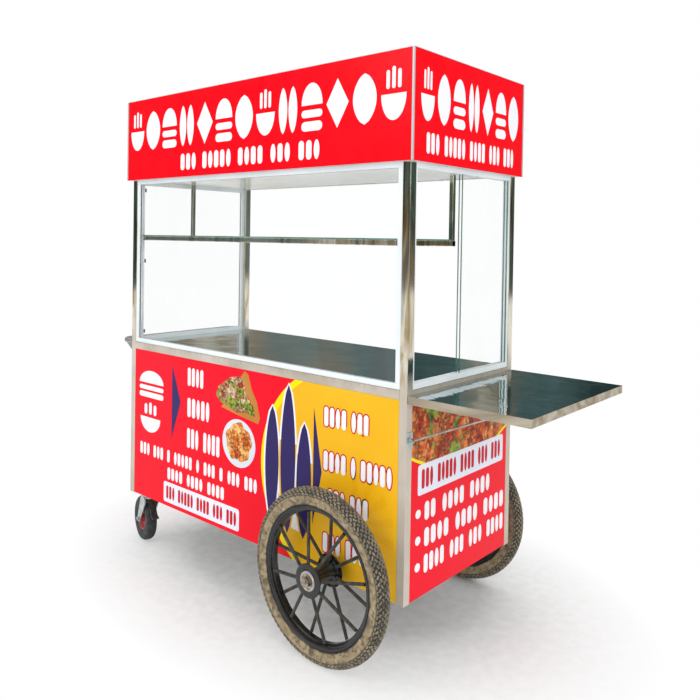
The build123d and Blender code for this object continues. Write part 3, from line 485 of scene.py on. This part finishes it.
def decal(name, loops, face, layer, material, body="root", depth=INK_DEPTH):
    """Closed outlines on a panel face as one thin printed or pressed piece."""
    curve = bpy.data.curves.new(name, "CURVE")
    curve.dimensions = "2D"
    curve.fill_mode = "BOTH"
    curve.extrude = depth / 2
    for loop in loops:
        spline = curve.splines.new("POLY")
        spline.points.add(len(loop) - 1)
        for point, (u, v) in zip(spline.points, loop):
            point.co = (u, v, 0, 1)
        spline.use_cyclic_u = True
    holder = bpy.data.objects.new(name, curve)
    mesh = bpy.data.meshes.new_from_object(holder)
    bpy.data.objects.remove(holder)
    bpy.data.curves.remove(curve)
    mesh.transform(face.matrix(depth * (layer + 0.5)))
    return piece(name, mesh, material, body, smooth=0)


def bar(u, v, width, height, grow=0.0, radius=0.3):
    """A bar with rounded corners, from its lower left corner."""
    u, v, width, height = u - grow, v - grow, width + 2 * grow, height + 2 * grow
    r = min(radius * height, 0.5 * width)
    points = []
    for cu, cv, start in ((u + width - r, v + r, -90), (u + width - r, v + height - r, 0),
                          (u + r, v + height - r, 90), (u + r, v + r, 180)):
        for step in range(CORNER_STEPS + 1):
            turn = radians(start + 90 / CORNER_STEPS * step)
            points.append((cu + r * cos(turn), cv + r * sin(turn)))
    return points


def oval(u, v, half_width, half_height, steps=40):
    return [(u + half_width * cos(2 * pi * i / steps), v + half_height * sin(2 * pi * i / steps))
            for i in range(steps)]


def leaf(u, v, half_width, half_height, steps=18):
    """An upright pointed leaf."""
    side = [(half_width * sin(pi * i / steps) ** 0.6, half_height * (2 * i / steps - 1))
            for i in range(steps + 1)]
    return [(u + a, v + b) for a, b in side] + [(u - a, v + b) for a, b in side[-2:0:-1]]


def half_round(u, v, half_width, height, start):
    """Half of an oval, the upper one from 0 or the lower one from pi."""
    turns = (start + pi * i / ARC_STEPS for i in range(ARC_STEPS + 1))
    return [(u + half_width * cos(turn), v + height * sin(turn)) for turn in turns]


def ornament(kind, u, v, width, height):
    """One ornament of a frieze, in a cell with its lower left corner at (u, v)."""
    cu, cv = u + width / 2, v + height / 2
    if kind == "leaf":
        return [leaf(cu, cv, width / 2, height / 2)]
    if kind == "diamond":
        return [[(cu, v), (u + width, cv), (cu, v + height), (u, cv)]]
    if kind == "pill":
        return [bar(u, v, width, height, radius=0.5)]
    if kind == "drops":
        return [leaf(cu + side * width / 4, cv, width / 4.6, height / 2) for side in (-1, 1)]
    if kind == "bowl":
        rim = v + 0.52 * height
        steam = [bar(cu + place * width, rim + 0.1 * height, width * 0.14, height * rise)
                 for place, rise in ((-0.3, 0.36), (-0.07, 0.42), (0.16, 0.36))]
        return [half_round(cu, rim, width / 2, 0.5 * height, pi), *steam]
    if kind == "bun":
        return [half_round(cu, cv + 0.04 * height, width / 2, 0.46 * height, 0),
                bar(u, v, width, 0.2 * height, radius=0.5),
                bar(u, v + 0.28 * height, width, 0.16 * height, radius=0.5)]
    return [oval(cu, cv, width / 2, height / 2)]


def frieze(kinds, u, v, width, height, gap=0.018):
    """Ornaments side by side, filling a width."""
    cell = (width - gap * (len(kinds) - 1)) / len(kinds)
    loops = []
    for i, kind in enumerate(kinds):
        loops += ornament(kind, u + i * (cell + gap), v, cell, height)
    return loops


def grown(loops, amount):
    """The same outlines pushed outwards, for a printed edge round them."""
    larger = []
    for loop in loops:
        turn = sum(a[0] * b[1] - b[0] * a[1] for a, b in zip(loop, loop[1:] + loop[:1]))
        side = amount if turn > 0 else -amount
        pushed = []
        for before, here, after in zip(loop[-1:] + loop[:-1], loop, loop[1:] + loop[:1]):
            along = Vector((after[0] - before[0], after[1] - before[1])).normalized()
            pushed.append((here[0] + along.y * side, here[1] - along.x * side))
        larger.append(pushed)
    return larger


BEADS = ("pill", "pill", "oval", "pill", "oval")
BEAD_SHARE = 0.72       # of the pitch that a bead fills
LABEL_BEADS = (3, 5, 4, 3, 3)


def beads(groups, u, v, width, height, space=0.9):
    """A line of small upright beads in groups, spaced to fill a width."""
    pitch = width / (sum(groups) + space * (len(groups) - 1) - (1 - BEAD_SHARE))
    loops, at, turn = [], u, 0
    for count in groups:
        for _ in range(count):
            loops += ornament(BEADS[turn % len(BEADS)], at, v, pitch * BEAD_SHARE, height)
            at += pitch
            turn += 1
        at += pitch * space
    return loops


def bead_rows(rows, space=0.9):
    """Several lines of beads, each (groups, left, low, width, height)."""
    return [loop for row in rows for loop in beads(*row, space)]


SIGN_KINDS = ("bowl", "leaf", "bun", "drops", "diamond", "bun", "leaf", "bowl", "drops", "bun",
              "diamond", "leaf", "bowl")
FRIEZE_LOW, FRIEZE_HEIGHT = 0.122, 0.162
LINE_LOW, LINE_HEIGHT = 0.026, 0.066
sign_low, sign_high = low("sign_panels_long"), high("sign_panels_long")
end_low, end_high = low("sign_panels_end"), high("sign_panels_end")
sign_length, sign_depth = sign_high.x - sign_low.x, end_high.y - end_low.y
for name, face, width, kinds in (
        ("sign_front", Face((sign_low.x, sign_low.y, sign_low.z), (1, 0, 0), (0, -1, 0)), sign_length,
         SIGN_KINDS),
        ("sign_rear", Face((sign_high.x, sign_high.y, sign_low.z), (-1, 0, 0), (0, 1, 0)), sign_length,
         SIGN_KINDS),
        ("sign_right", Face((end_high.x, end_low.y, sign_low.z), (0, 1, 0), (1, 0, 0)), sign_depth,
         SIGN_KINDS[:7]),
        ("sign_left", Face((end_low.x, end_high.y, sign_low.z), (0, -1, 0), (-1, 0, 0)), sign_depth,
         SIGN_KINDS[:7])):
    margin, line = (0.026, 0.5 * width) if width == sign_length else (0.036, 0.8 * width)
    decal(f"{name}_frieze", frieze(kinds, margin, FRIEZE_LOW, width - 2 * margin, FRIEZE_HEIGHT),
          face, 0, WHITE)
    decal(f"{name}_line", beads(LABEL_BEADS, (width - line) / 2, LINE_LOW, line, LINE_HEIGHT),
          face, 0, WHITE)

# the front panel: a red field, a golden field with a curved edge, and its printed shapes
panel_low, panel_high = low("front_panel"), high("front_panel")
front = Face((panel_low.x, panel_low.y, panel_low.z), (1, 0, 0), (0, -1, 0))
panel_width, panel_height = panel_high.x - panel_low.x, panel_high.z - panel_low.z


def curved_field(middle_u, middle_v, radius):
    """The part of the front panel to the right of a large arc."""
    steps = 48
    edge = []
    for i in range(steps + 1):
        v = panel_height * i / steps
        edge.append((middle_u - sqrt(max(radius ** 2 - (v - middle_v) ** 2, 0)), v))
    return [(panel_width, 0), *edge, (panel_width, panel_height)]


def sunburst(middle_u, middle_v, inner, outer, count):
    """Faint rays that fan out from a place on the golden field."""
    first, step, spread = -62, 24, 10
    rays = []
    for i in range(count):
        start, end = radians(first + step * i), radians(first + spread + step * i)
        rays.append([(middle_u + r * cos(turn), middle_v + r * sin(turn)) for r, turn in
                     ((inner, start), (outer, start), (outer, end), (inner, end))])
    return rays


def rice_heap(middle_u, middle_v, radius, steps=48):
    """A heap of food with a wavy outline."""
    outline = []
    for i in range(steps):
        turn = 2 * pi * i / steps
        reach = radius + 0.004 * sin(5 * turn) + 0.003 * cos(9 * turn)
        outline.append((middle_u + reach * cos(turn), middle_v + reach * sin(turn)))
    return outline


# rows of beads: their groups, left end, lower edge, width and height
MENU_ROWS = (((4,), 0.375, 0.520, 0.10, 0.074), ((5,), 0.375, 0.394, 0.14, 0.078),
             ((3, 4), 0.375, 0.270, 0.205, 0.080))
NOTE_ROWS = (((3, 3, 1, 5, 1, 3, 1, 3, 3), 0.045, 0.182, 0.752, 0.052),
             ((4, 4, 4), 0.245, 0.112, 0.365, 0.050))
GOLDEN_ROWS = (((4, 3), 1.128, 0.494, 0.192, 0.066), ((4, 1, 5), 1.128, 0.346, 0.288, 0.066),
               ((3, 3), 1.150, 0.222, 0.172, 0.066), ((3, 3), 1.130, 0.072, 0.180, 0.066))
# middle across and up, half width and half height of each
BIG_LEAVES = ((0.876, 0.315, 0.035, 0.205), (0.957, 0.345, 0.037, 0.262), (1.036, 0.285, 0.035, 0.200))
WRAPPER = ((0.588, 0.470), (0.700, 0.452), (0.800, 0.440), (0.808, 0.462), (0.790, 0.520),
           (0.762, 0.560), (0.742, 0.612), (0.722, 0.624), (0.700, 0.600), (0.690, 0.560))
SANDWICH = ((0.556, 0.512), (0.572, 0.548), (0.602, 0.566), (0.640, 0.590), (0.690, 0.600),
            (0.716, 0.585), (0.730, 0.545), (0.770, 0.500), (0.782, 0.462), (0.735, 0.470),
            (0.680, 0.462), (0.620, 0.482), (0.580, 0.488))

decal("front_yellow_edge", [curved_field(1.196, 0.315, 0.378)], front, 0, YELLOW)
decal("front_golden_field", [curved_field(1.207, 0.312, 0.364)], front, 1, GOLD)
decal("front_golden_rays", sunburst(1.26, 0.20, 0.05, 0.17, 7), front, 2, GOLD_RAY)
decal("front_arrow_left", [[(0.270, 0.590), (0.329, 0.445), (0.270, 0.287)]], front, 0, NAVY)
decal("front_arrow_right", [[(1.080, 0.548), (1.120, 0.335), (1.080, 0.150)]], front, 2, NAVY)
decal("front_title", ornament("bun", 0.034, 0.43, 0.175, 0.115)
      + ornament("bowl", 0.044, 0.28, 0.145, 0.125), front, 0, WHITE)
decal("front_menu", bead_rows(MENU_ROWS), front, 0, WHITE)
decal("front_lines", bead_rows(NOTE_ROWS), front, 0, WHITE)
decal("front_label", [bar(0.22, 0.016, 0.48, 0.084, radius=0.12)], front, 0, LABEL)
decal("front_label_ink", beads(LABEL_BEADS, 0.238, 0.031, 0.446, 0.054), front, 1, INK)
big_leaves = [leaf(*place) for place in BIG_LEAVES]
decal("front_leaf_outlines", grown(big_leaves, 8 * mm), front, 2, WHITE)
decal("front_leaves", big_leaves, front, 3, NAVY)
golden_menu = bead_rows(GOLDEN_ROWS, 0.6)
decal("front_golden_menu_edge", grown(golden_menu, 4.5 * mm), front, 2, INK)
decal("front_golden_menu", golden_menu, front, 3, WHITE)
decal("front_sandwich_crust", [WRAPPER], front, 0, CRUST)
decal("front_sandwich_filling", [SANDWICH], front, 1, FILLING)
decal("front_plate", [oval(0.692, 0.348, 0.094, 0.090)], front, 0, PLATE)
decal("front_plate_food", [rice_heap(0.692, 0.352, 0.072)], front, 1, RICE)

# the end panels: a picture band with a curved yellow edge, a label and three lines
ends_low, ends_high = low("end_panels"), high("end_panels")
end_width, end_height = ends_high.y - ends_low.y, ends_high.z - ends_low.z
END_ROWS = (((2, 4, 4), 0.40), ((4, 4, 4), 0.50), ((4, 3, 3, 4), 0.50))     # groups and width
END_ROW_TOP, END_ROW_STEP, END_ROW_HEIGHT = 0.235, 0.084, 0.060


def sagging_band(drop):
    """The top of an end panel down to a sagging curve."""
    steps = 30
    sag = [(end_width * i / steps, 0.452 - drop - 0.085 * sin(pi * i / steps))
           for i in range(steps + 1)]
    return [*sag, (end_width, end_height), (0, end_height)]


def dotted_lines():
    """Three lines of beads, each behind a round dot."""
    loops = []
    for row, (groups, width) in enumerate(END_ROWS):
        v = END_ROW_TOP - END_ROW_STEP * row
        loops += beads(groups, 0.075, v, width, END_ROW_HEIGHT)
        loops.append(oval(0.04, v + END_ROW_HEIGHT / 2, 0.014, 0.014, 16))
    return loops


for name, face in (("end_right", Face((ends_high.x, ends_low.y, ends_low.z), (0, 1, 0), (1, 0, 0))),
                   ("end_left", Face((ends_low.x, ends_high.y, ends_low.z), (0, -1, 0), (-1, 0, 0)))):
    decal(f"{name}_yellow_edge", [sagging_band(0.010)], face, 0, YELLOW)
    decal(f"{name}_picture", [sagging_band(0.0)], face, 1, STEW)
    decal(f"{name}_label", [bar(0.035, 0.322, 0.53, 0.096, radius=0.1)], face, 2, LABEL)
    decal(f"{name}_label_ink", beads(LABEL_BEADS, 0.055, 0.340, 0.49, 0.062), face, 3, INK)
    decal(f"{name}_lines", dotted_lines(), face, 0, WHITE)


# pressed beads round the two rear doors
for door in ("rear_door_left", "rear_door_right"):
    face = Face((high(door).x, high(door).y, low(door).z), (-1, 0, 0), (0, 1, 0))
    width, height = high(door).x - low(door).x, high(door).z - low(door).z
    rings = [bar(inset, inset, width - 2 * inset, height - 2 * inset, radius=0.05)
             for inset in (0.034, 0.042)]
    decal(f"{door}_bead", rings, face, 0, SHEET, door, 0.9 * mm)


# ---------------------------------------------------------------- big wheels
TREAD_BLOCK = 3.0 * mm      # height of a tread block
TREAD_COUNT = 92            # blocks in each row
# lean of each row from the middle of the tread, half width of its blocks in mm, shift, skew
TREAD_ROWS = ((0, 2.4, 0.0, 0), (15, 2.7, 0.5, 14), (-15, 2.7, 0.5, -14), (32, 2.7, 0.0, -22),
              (-32, 2.7, 0.0, 22), (49, 2.7, 0.5, 30), (-49, 2.7, 0.5, -30), (66, 2.4, 0.0, 0),
              (-66, 2.4, 0.0, 0))
SHOULDER_LEAN = 60          # rows that lean more than this are lower
BOX_FACES = ((3, 2, 1, 0), (4, 5, 6, 7), (0, 1, 5, 4), (1, 2, 6, 5), (2, 3, 7, 6), (3, 0, 4, 7))
RING_STEPS = 128
WELL_DEPTH = 20.5 * mm      # the rim's well below its edge
VALVE_TURN = radians(-70)


def mirrored(half):
    """A profile and its mirror image, from a half that ends on the middle plane."""
    return half + [(r, -a) for r, a in half[-2::-1]]


def finish_mesh(shape, name):
    """Turn loose faces into a mesh with its normals outwards."""
    bmesh.ops.recalc_face_normals(shape, faces=shape.faces)
    mesh = bpy.data.meshes.new(name)
    shape.to_mesh(mesh)
    shape.free()
    return mesh


def tyre_section(tyre):
    """The middle and the radius of the round of a tyre's section, under its tread blocks."""
    section = half_width_of(tyre) * 0.97
    return radius_of(tyre) - TREAD_BLOCK - section, section


def tyre_carcass(end, hub):
    body, tyre = f"{end}_wheel", f"{end}_wheel_tyre"
    rim_edge = radius_of(f"{body}_rim")
    bead = half_width_of(f"{body}_rim") - 3.4 * mm
    middle, section = tyre_section(tyre)
    half = [(rim_edge - 6 * mm, bead), (rim_edge + 0.5 * mm, bead), (rim_edge + 2 * mm, bead + 2.5 * mm)]
    half += [(middle + section * sin(radians(lean)), section * cos(radians(lean)))
             for lean in range(-34, 91, 10)]
    half = [point for point in half if point[1] > 1 * mm] + [(middle + section, 0)]
    rubber = tyre_rubber(f"{end}_tyre_rubber", hub, rim_edge + 5 * mm, rim_edge + 30 * mm,
                         rim_edge + 36 * mm)
    piece(f"{tyre}_carcass", lathe(mirrored(half), hub, ALONG, UP, RING_STEPS), rubber, body,
          replaces=(tyre,))


def tread_block(shape, base, up, along, half_width, length, rise):
    """One block of the tread, a little narrower at its top."""
    wide = up.cross(along).normalized()
    corners = []
    for level, scale in ((0, 1.0), (rise, 0.84)):
        for a, b in ((-1, -1), (1, -1), (1, 1), (-1, 1)):
            corners.append(shape.verts.new(base + up * level + along * (a * length * scale)
                                           + wide * (b * half_width * mm * scale)))
    for quad in BOX_FACES:
        shape.faces.new([corners[k] for k in quad])


def tyre_tread(end, hub):
    """Nine rows of blocks that lean over the round of the tyre."""
    body, tyre = f"{end}_wheel", f"{end}_wheel_tyre"
    middle, section = tyre_section(tyre)
    pitch = pi * radius_of(tyre) / TREAD_COUNT
    blocks = bmesh.new()
    for degrees, half_width, shift, skew in TREAD_ROWS:
        lean = radians(degrees)
        rise = (TREAD_BLOCK + 1.0 * mm) * (1 if abs(degrees) < SHOULDER_LEAN else 0.75)
        for i in range(TREAD_COUNT):
            turn = 2 * pi * (i + shift) / TREAD_COUNT
            out = ALONG * cos(turn) + UP * sin(turn)
            along = UP * cos(turn) - ALONG * sin(turn)
            up = out * cos(lean) + ACROSS * sin(lean)
            along = Matrix.Rotation(radians(skew + rng.uniform(-5, 5)), 3, up) @ along
            base = hub + out * middle + up * (section - 1.2 * mm)
            length = pitch * (0.58 + 0.16 * rng.random())
            tread_block(blocks, base, up, along, half_width, length, rise)
    piece(f"{tyre}_tread", finish_mesh(blocks, "tread"), TREAD, body, smooth=0)


def rolled_rim(end, hub):
    """The rim, rolled from one strip: a well, two shelves and two turned edges."""
    body = f"{end}_wheel"
    edge = radius_of(f"{body}_rim")
    width = half_width_of(f"{body}_rim")
    well = edge - WELL_DEPTH
    half = [(well, 0), (well + 0.4 * mm, width * 0.34), (well + 5 * mm, width * 0.48),
            (well + 6 * mm, width * 0.72), (well + 10.5 * mm, width * 0.80),
            (well + 12 * mm, width * 0.9), (edge - 2 * mm, width * 0.93),
            (edge - 0.6 * mm, width * 0.99), (edge, width * 0.96),
            (edge - 0.3 * mm, width * 0.86), (well + 15 * mm, width * 0.80),
            (well + 9.5 * mm, width * 0.66), (well + 8.5 * mm, width * 0.42),
            (well + 3.5 * mm, width * 0.28), (well + 3 * mm, 0)]
    profile = half + [(r, -a) for r, a in half[-2:0:-1]]
    piece(f"{body}_rim_rolled", lathe(profile, hub, ALONG, UP, RING_STEPS), BLACK, body,
          replaces=(f"{body}_rim",))


def turned_hub(end, hub, half_hub, seat):
    """The hub with its two flanges and the seats of its bearings."""
    body, node = f"{end}_wheel", f"{end}_wheel_hub"
    flange = radius_of(node)
    lip = half_hub - 6 * mm
    seat_end = half_hub - 15 * mm
    half = [(seat, seat_end), (seat, half_hub - 0.8 * mm), (seat + 0.8 * mm, half_hub),
            (flange - 20 * mm, half_hub), (flange - 18 * mm, half_hub - 1.2 * mm),
            (flange - 3 * mm, half_hub - 1.2 * mm), (flange - 0.6 * mm, half_hub - 1.8 * mm),
            (flange, half_hub - 3.4 * mm), (flange - 1.5 * mm, lip + 0.4 * mm),
            (flange - 14 * mm, lip), (flange - 17 * mm, lip - 3 * mm), (34 * mm, lip - 12 * mm),
            (29 * mm, lip - 22 * mm), (27 * mm, 0)]
    profile = [(seat - 4 * mm, seat_end), *mirrored(half), (seat - 4 * mm, -seat_end)]
    piece(f"{node}_turned", lathe(profile, hub, ALONG, UP, 64), BLACK, body,
          replaces=(node,))


def bearing_rings(end, hub, half_hub, seat):
    """The seal of the outer bearing, which stands still, and the cup round it, which turns."""
    body = f"{end}_wheel"
    side = -1 if hub.y < 0 else 1
    face = half_hub - 0.1 * mm
    seal = [(13 * mm, face - 1 * mm), (13 * mm, face), (17 * mm, face), (17.4 * mm, face - 0.5 * mm),
            (21 * mm, face - 0.5 * mm), (21.5 * mm, face), (22.8 * mm, face), (22.8 * mm, face - 1 * mm)]
    cup = [(seat + 0.4 * mm, face), (seat + 0.4 * mm, face + 2 * mm), (seat + 1.2 * mm, face + 2.6 * mm),
           (seat + 4 * mm, face + 2.2 * mm), (seat + 4.6 * mm, face + 1 * mm),
           (seat + 7 * mm, face + 0.8 * mm), (seat + 7.6 * mm, face)]
    for label, ring, rides in (("bearing_seal", seal, "root"), ("bearing_cup", cup, body)):
        mesh = lathe([(r, side * -a) for r, a in ring], hub, ALONG, UP, 64)
        piece(f"{body}_{label}", mesh, CUP, rides)


def valve(end, hub):
    """The valve stem, which points at the hub."""
    body = f"{end}_wheel"
    out = ALONG * cos(VALVE_TURN) + UP * sin(VALVE_TURN)
    thin = 0.01 * mm
    stem = [(thin, 0), (2.2 * mm, 0), (2.2 * mm, 10 * mm), (3.2 * mm, 10.5 * mm), (3.2 * mm, 20 * mm),
            (2.0 * mm, 22 * mm), (thin, 22 * mm)]
    base = hub + out * (radius_of(f"{body}_rim") - WELL_DEPTH + 1 * mm)
    mesh = lathe(stem, base, ACROSS, out.cross(ACROSS), 16, closed=False)
    piece(f"{body}_valve", mesh, BRIGHT, body)


def big_wheel(end):
    """Tyre with block tread, drop-centre rim, hub with bearing seals, valve."""
    hub = centre(f"{end}_wheel_tyre")
    half_hub = half_width_of(f"{end}_wheel_hub")
    seat = radius_of("wheel_bearings") + 0.06 * mm
    tyre_carcass(end, hub)
    tyre_tread(end, hub)
    rolled_rim(end, hub)
    turned_hub(end, hub, half_hub, seat)
    bearing_rings(end, hub, half_hub, seat)
    valve(end, hub)


for end in ("front", "rear"):
    big_wheel(end)


# ---------------------------------------------------------------- caster tyres
CASTER_HALF = 23.5 * mm
LUG_COUNT = 46
LUG_HALF = 2.9 * mm
LUG_DEPTH = 4 * mm
LUG_SKEW = 4.4 * mm
# where along the half width a lug is cut, and how far its top is then below the tyre's radius
LUG_CUTS = ((0.06, 0.1 * mm), (0.5, 1.1 * mm), (0.80, 5.0 * mm), (0.95, 12 * mm))


def caster_lug(shape, hub, axis, out, along, sign, radius):
    """One rounded lug of a caster's tread, from the middle to one side."""
    rows = []
    for place, fall in LUG_CUTS:
        top = radius - fall
        middle = hub + axis * (sign * place * CASTER_HALF) + along * (sign * place * LUG_SKEW)
        foot, crest = middle + out * (top - LUG_DEPTH), middle + out * top
        rows.append([shape.verts.new(foot - along * LUG_HALF),
                     shape.verts.new(crest - along * LUG_HALF * 0.85),
                     shape.verts.new(crest + along * LUG_HALF * 0.85),
                     shape.verts.new(foot + along * LUG_HALF)])
    for first, second in zip(rows, rows[1:]):
        for k in range(4):
            m = (k + 1) % 4
            shape.faces.new((first[k], first[m], second[m], second[k]))
    shape.faces.new(rows[0])
    shape.faces.new(rows[-1])


def caster_tyre(end):
    """Ribbed caster tyre in place of the plain one."""
    body, tyre = f"{end}_caster_wheel", f"{end}_caster_tyre"
    joint = next(j for j in frame["joints"] if j["name"] == f"{end}_caster_spin")
    hub = Vector(joint["pos_m"])
    axis = Vector(joint["axis"]).normalized()
    level = axis.cross(UP).normalized()
    radius = hub.z
    groove = radius - 3.5 * mm
    half = [(50.5 * mm, 17 * mm), (60 * mm, CASTER_HALF * 0.90), (70 * mm, CASTER_HALF * 0.98),
            (radius - 9 * mm, CASTER_HALF * 0.93), (radius - 5.5 * mm, CASTER_HALF * 0.72),
            (groove, CASTER_HALF * 0.5), (groove + 0.6 * mm, 0)]
    piece(f"{tyre}_carcass", lathe(mirrored(half), hub, level, UP, 72), CASTER_RUBBER, body,
          replaces=(tyre,))
    lugs = bmesh.new()
    for i in range(LUG_COUNT):
        turn = 2 * pi * i / LUG_COUNT
        out = level * cos(turn) + UP * sin(turn)
        along = UP * cos(turn) - level * sin(turn)
        for sign in (-1, 1):
            caster_lug(lugs, hub, axis, out, along, sign, radius)
    piece(f"{tyre}_lugs", finish_mesh(lugs, "lugs"), CASTER_RUBBER, body, smooth=0)


for end in ("front", "rear"):
    caster_tyre(end)

# ---------------------------------------------------------------- floor, light and camera
FLOOR_REACH = 14.0
FADE_REACH_X, FADE_REACH_Y = 1.35, 0.9      # the floor fades to white over an oval of these reaches
FADE_MIDDLE_Y = 0.15
FADE_START, FADE_END = 0.5, 1.0


def fading_concrete():
    """Pale concrete round the wheels that fades into plain white further out."""
    ground = Paint("pale_concrete", 0.75)
    speckle = ground.noise(26, 6.0)
    cloud = ground.noise(1.4, 4.0)
    pale = ground.ramp(cloud, ((0.3, (0.80, 0.80, 0.80, 1)), (0.7, (0.90, 0.90, 0.90, 1))))
    ground.colour(ground.mix(ground.spread(speckle, 0.35, 0.65, 0.0, 0.5), pale, (0.66, 0.66, 0.65, 1)))
    ground.bump(speckle, 0.15, 0.002)
    squares = []
    for letter, middle, reach in (("X", mid_x, FADE_REACH_X), ("Y", FADE_MIDDLE_Y, FADE_REACH_Y)):
        share = ground.maths("DIVIDE", ground.maths("SUBTRACT", ground.axis(letter), middle), reach)
        squares.append(ground.maths("MULTIPLY", share, share))
    distance = ground.maths("SQRT", ground.maths("ADD", *squares))
    glow = ground.nodes.new("ShaderNodeEmission")
    fade = ground.nodes.new("ShaderNodeMixShader")
    ground.links.new(ground.spread(distance, FADE_START, FADE_END), fade.inputs["Fac"])
    ground.links.new(ground.shader.outputs["BSDF"], fade.inputs[1])
    ground.links.new(glow.outputs["Emission"], fade.inputs[2])
    ground.links.new(fade.outputs["Shader"], ground.nodes["Material Output"].inputs["Surface"])
    return ground.material


floor_mesh = bpy.data.meshes.new("floor")
floor_corners = [(x * FLOOR_REACH, y * FLOOR_REACH, 0) for x, y in ((-1, -1), (1, -1), (1, 1), (-1, 1))]
floor_mesh.from_pydata(floor_corners, [], [(0, 1, 2, 3)])
floor = bpy.data.objects.new("floor", floor_mesh)
scene.collection.objects.link(floor)
floor_mesh.materials.append(fading_concrete())


def mix_colours(nodes, links, share, first, second):
    """A mix node in the world, between two colours or the outputs that give them."""
    node = nodes.new("ShaderNodeMix")
    node.data_type = "RGBA"
    links.new(share, node.inputs["Factor"])
    sockets = [s for s in node.inputs if s.type == "RGBA"]
    for socket, value in zip(sockets, (first, second)):
        if isinstance(value, tuple):
            socket.default_value = value
        else:
            links.new(value, socket)
    return next(s for s in node.outputs if s.type == "RGBA")


def studio_world():
    """White all round, with a dim street-like band near the horizon that only gloss picks up."""
    white = (1, 1, 1, 1)
    band_top, band_end = 0.32, 0.55     # height of the view direction where the band gives way
    lean = -0.09                        # darker towards +Y
    world = bpy.data.worlds.new("studio")
    world.use_nodes = True
    nodes, links = world.node_tree.nodes, world.node_tree.links
    coords = nodes.new("ShaderNodeTexCoord")
    stretch = nodes.new("ShaderNodeMapping")
    stretch.inputs["Scale"].default_value = (1, 1, 0.35)
    links.new(coords.outputs["Generated"], stretch.inputs["Vector"])
    streets = nodes.new("ShaderNodeTexNoise")
    for socket, value in (("Scale", 5.5), ("Detail", 5.0), ("Distortion", 0.8)):
        streets.inputs[socket].default_value = value
    links.new(stretch.outputs["Vector"], streets.inputs["Vector"])
    direction = nodes.new("ShaderNodeSeparateXYZ")
    links.new(coords.outputs["Generated"], direction.inputs["Vector"])
    leaning = nodes.new("ShaderNodeMath")
    leaning.operation = "MULTIPLY_ADD"
    leaning.inputs[1].default_value = lean
    links.new(direction.outputs["Y"], leaning.inputs[0])
    links.new(streets.outputs["Fac"], leaning.inputs[2])
    tones = nodes.new("ShaderNodeValToRGB")
    fill_ramp(tones.color_ramp, ((0.34, srgb(44, 60, 60)), (0.46, srgb(76, 98, 98)),
                                 (0.54, srgb(118, 104, 82)), (0.60, srgb(176, 166, 150)),
                                 (0.68, srgb(246, 246, 246))))
    links.new(leaning.outputs["Value"], tones.inputs["Fac"])
    rise = nodes.new("ShaderNodeMapRange")
    rise.inputs["From Min"].default_value = band_top
    rise.inputs["From Max"].default_value = band_end
    links.new(direction.outputs["Z"], rise.inputs["Value"])
    sky = mix_colours(nodes, links, rise.outputs["Result"], tones.outputs["Color"], white)
    rays = nodes.new("ShaderNodeLightPath")
    seen = mix_colours(nodes, links, rays.outputs["Is Glossy Ray"], white, sky)
    links.new(seen, nodes["Background"].inputs["Color"])
    return world


scene.world = studio_world()


def softbox(name, place, aim, size, power):
    """A large soft light that points at a place."""
    light = bpy.data.lights.new(name, "AREA")
    light.shape = "RECTANGLE"
    light.size, light.size_y = size
    light.energy = power
    lamp = bpy.data.objects.new(name, light)
    scene.collection.objects.link(lamp)
    lamp.location = place
    lamp.rotation_euler = (Vector(aim) - Vector(place)).to_track_quat("-Z", "Y").to_euler()


softbox("key", (-1.5, -4.5, 3.6), (mid_x, 0, 0.9), (2.5, 2.0), 40)
softbox("fill", (4.5, -2.0, 2.8), (mid_x, 0, 0.9), (2.0, 2.0), 30)

# chest height, out from the corner between the front and the tray
camera_place = (mid_x + 2.0564, -2.105, 1.3585)
azimuth, elevation, roll = 40.97, 0.83, 0.92
camera_data = bpy.data.cameras.new("camera")
camera_data.sensor_width = 36
camera_data.lens = 37.34
camera_data.shift_y = -0.1429
camera = bpy.data.objects.new("camera", camera_data)
scene.collection.objects.link(camera)
camera.matrix_world = (Matrix.Translation(camera_place)
                       @ Matrix.Rotation(radians(azimuth), 4, "Z")
                       @ Matrix.Rotation(radians(90 - elevation), 4, "X")
                       @ Matrix.Rotation(radians(roll), 4, "Z"))
scene.camera = camera
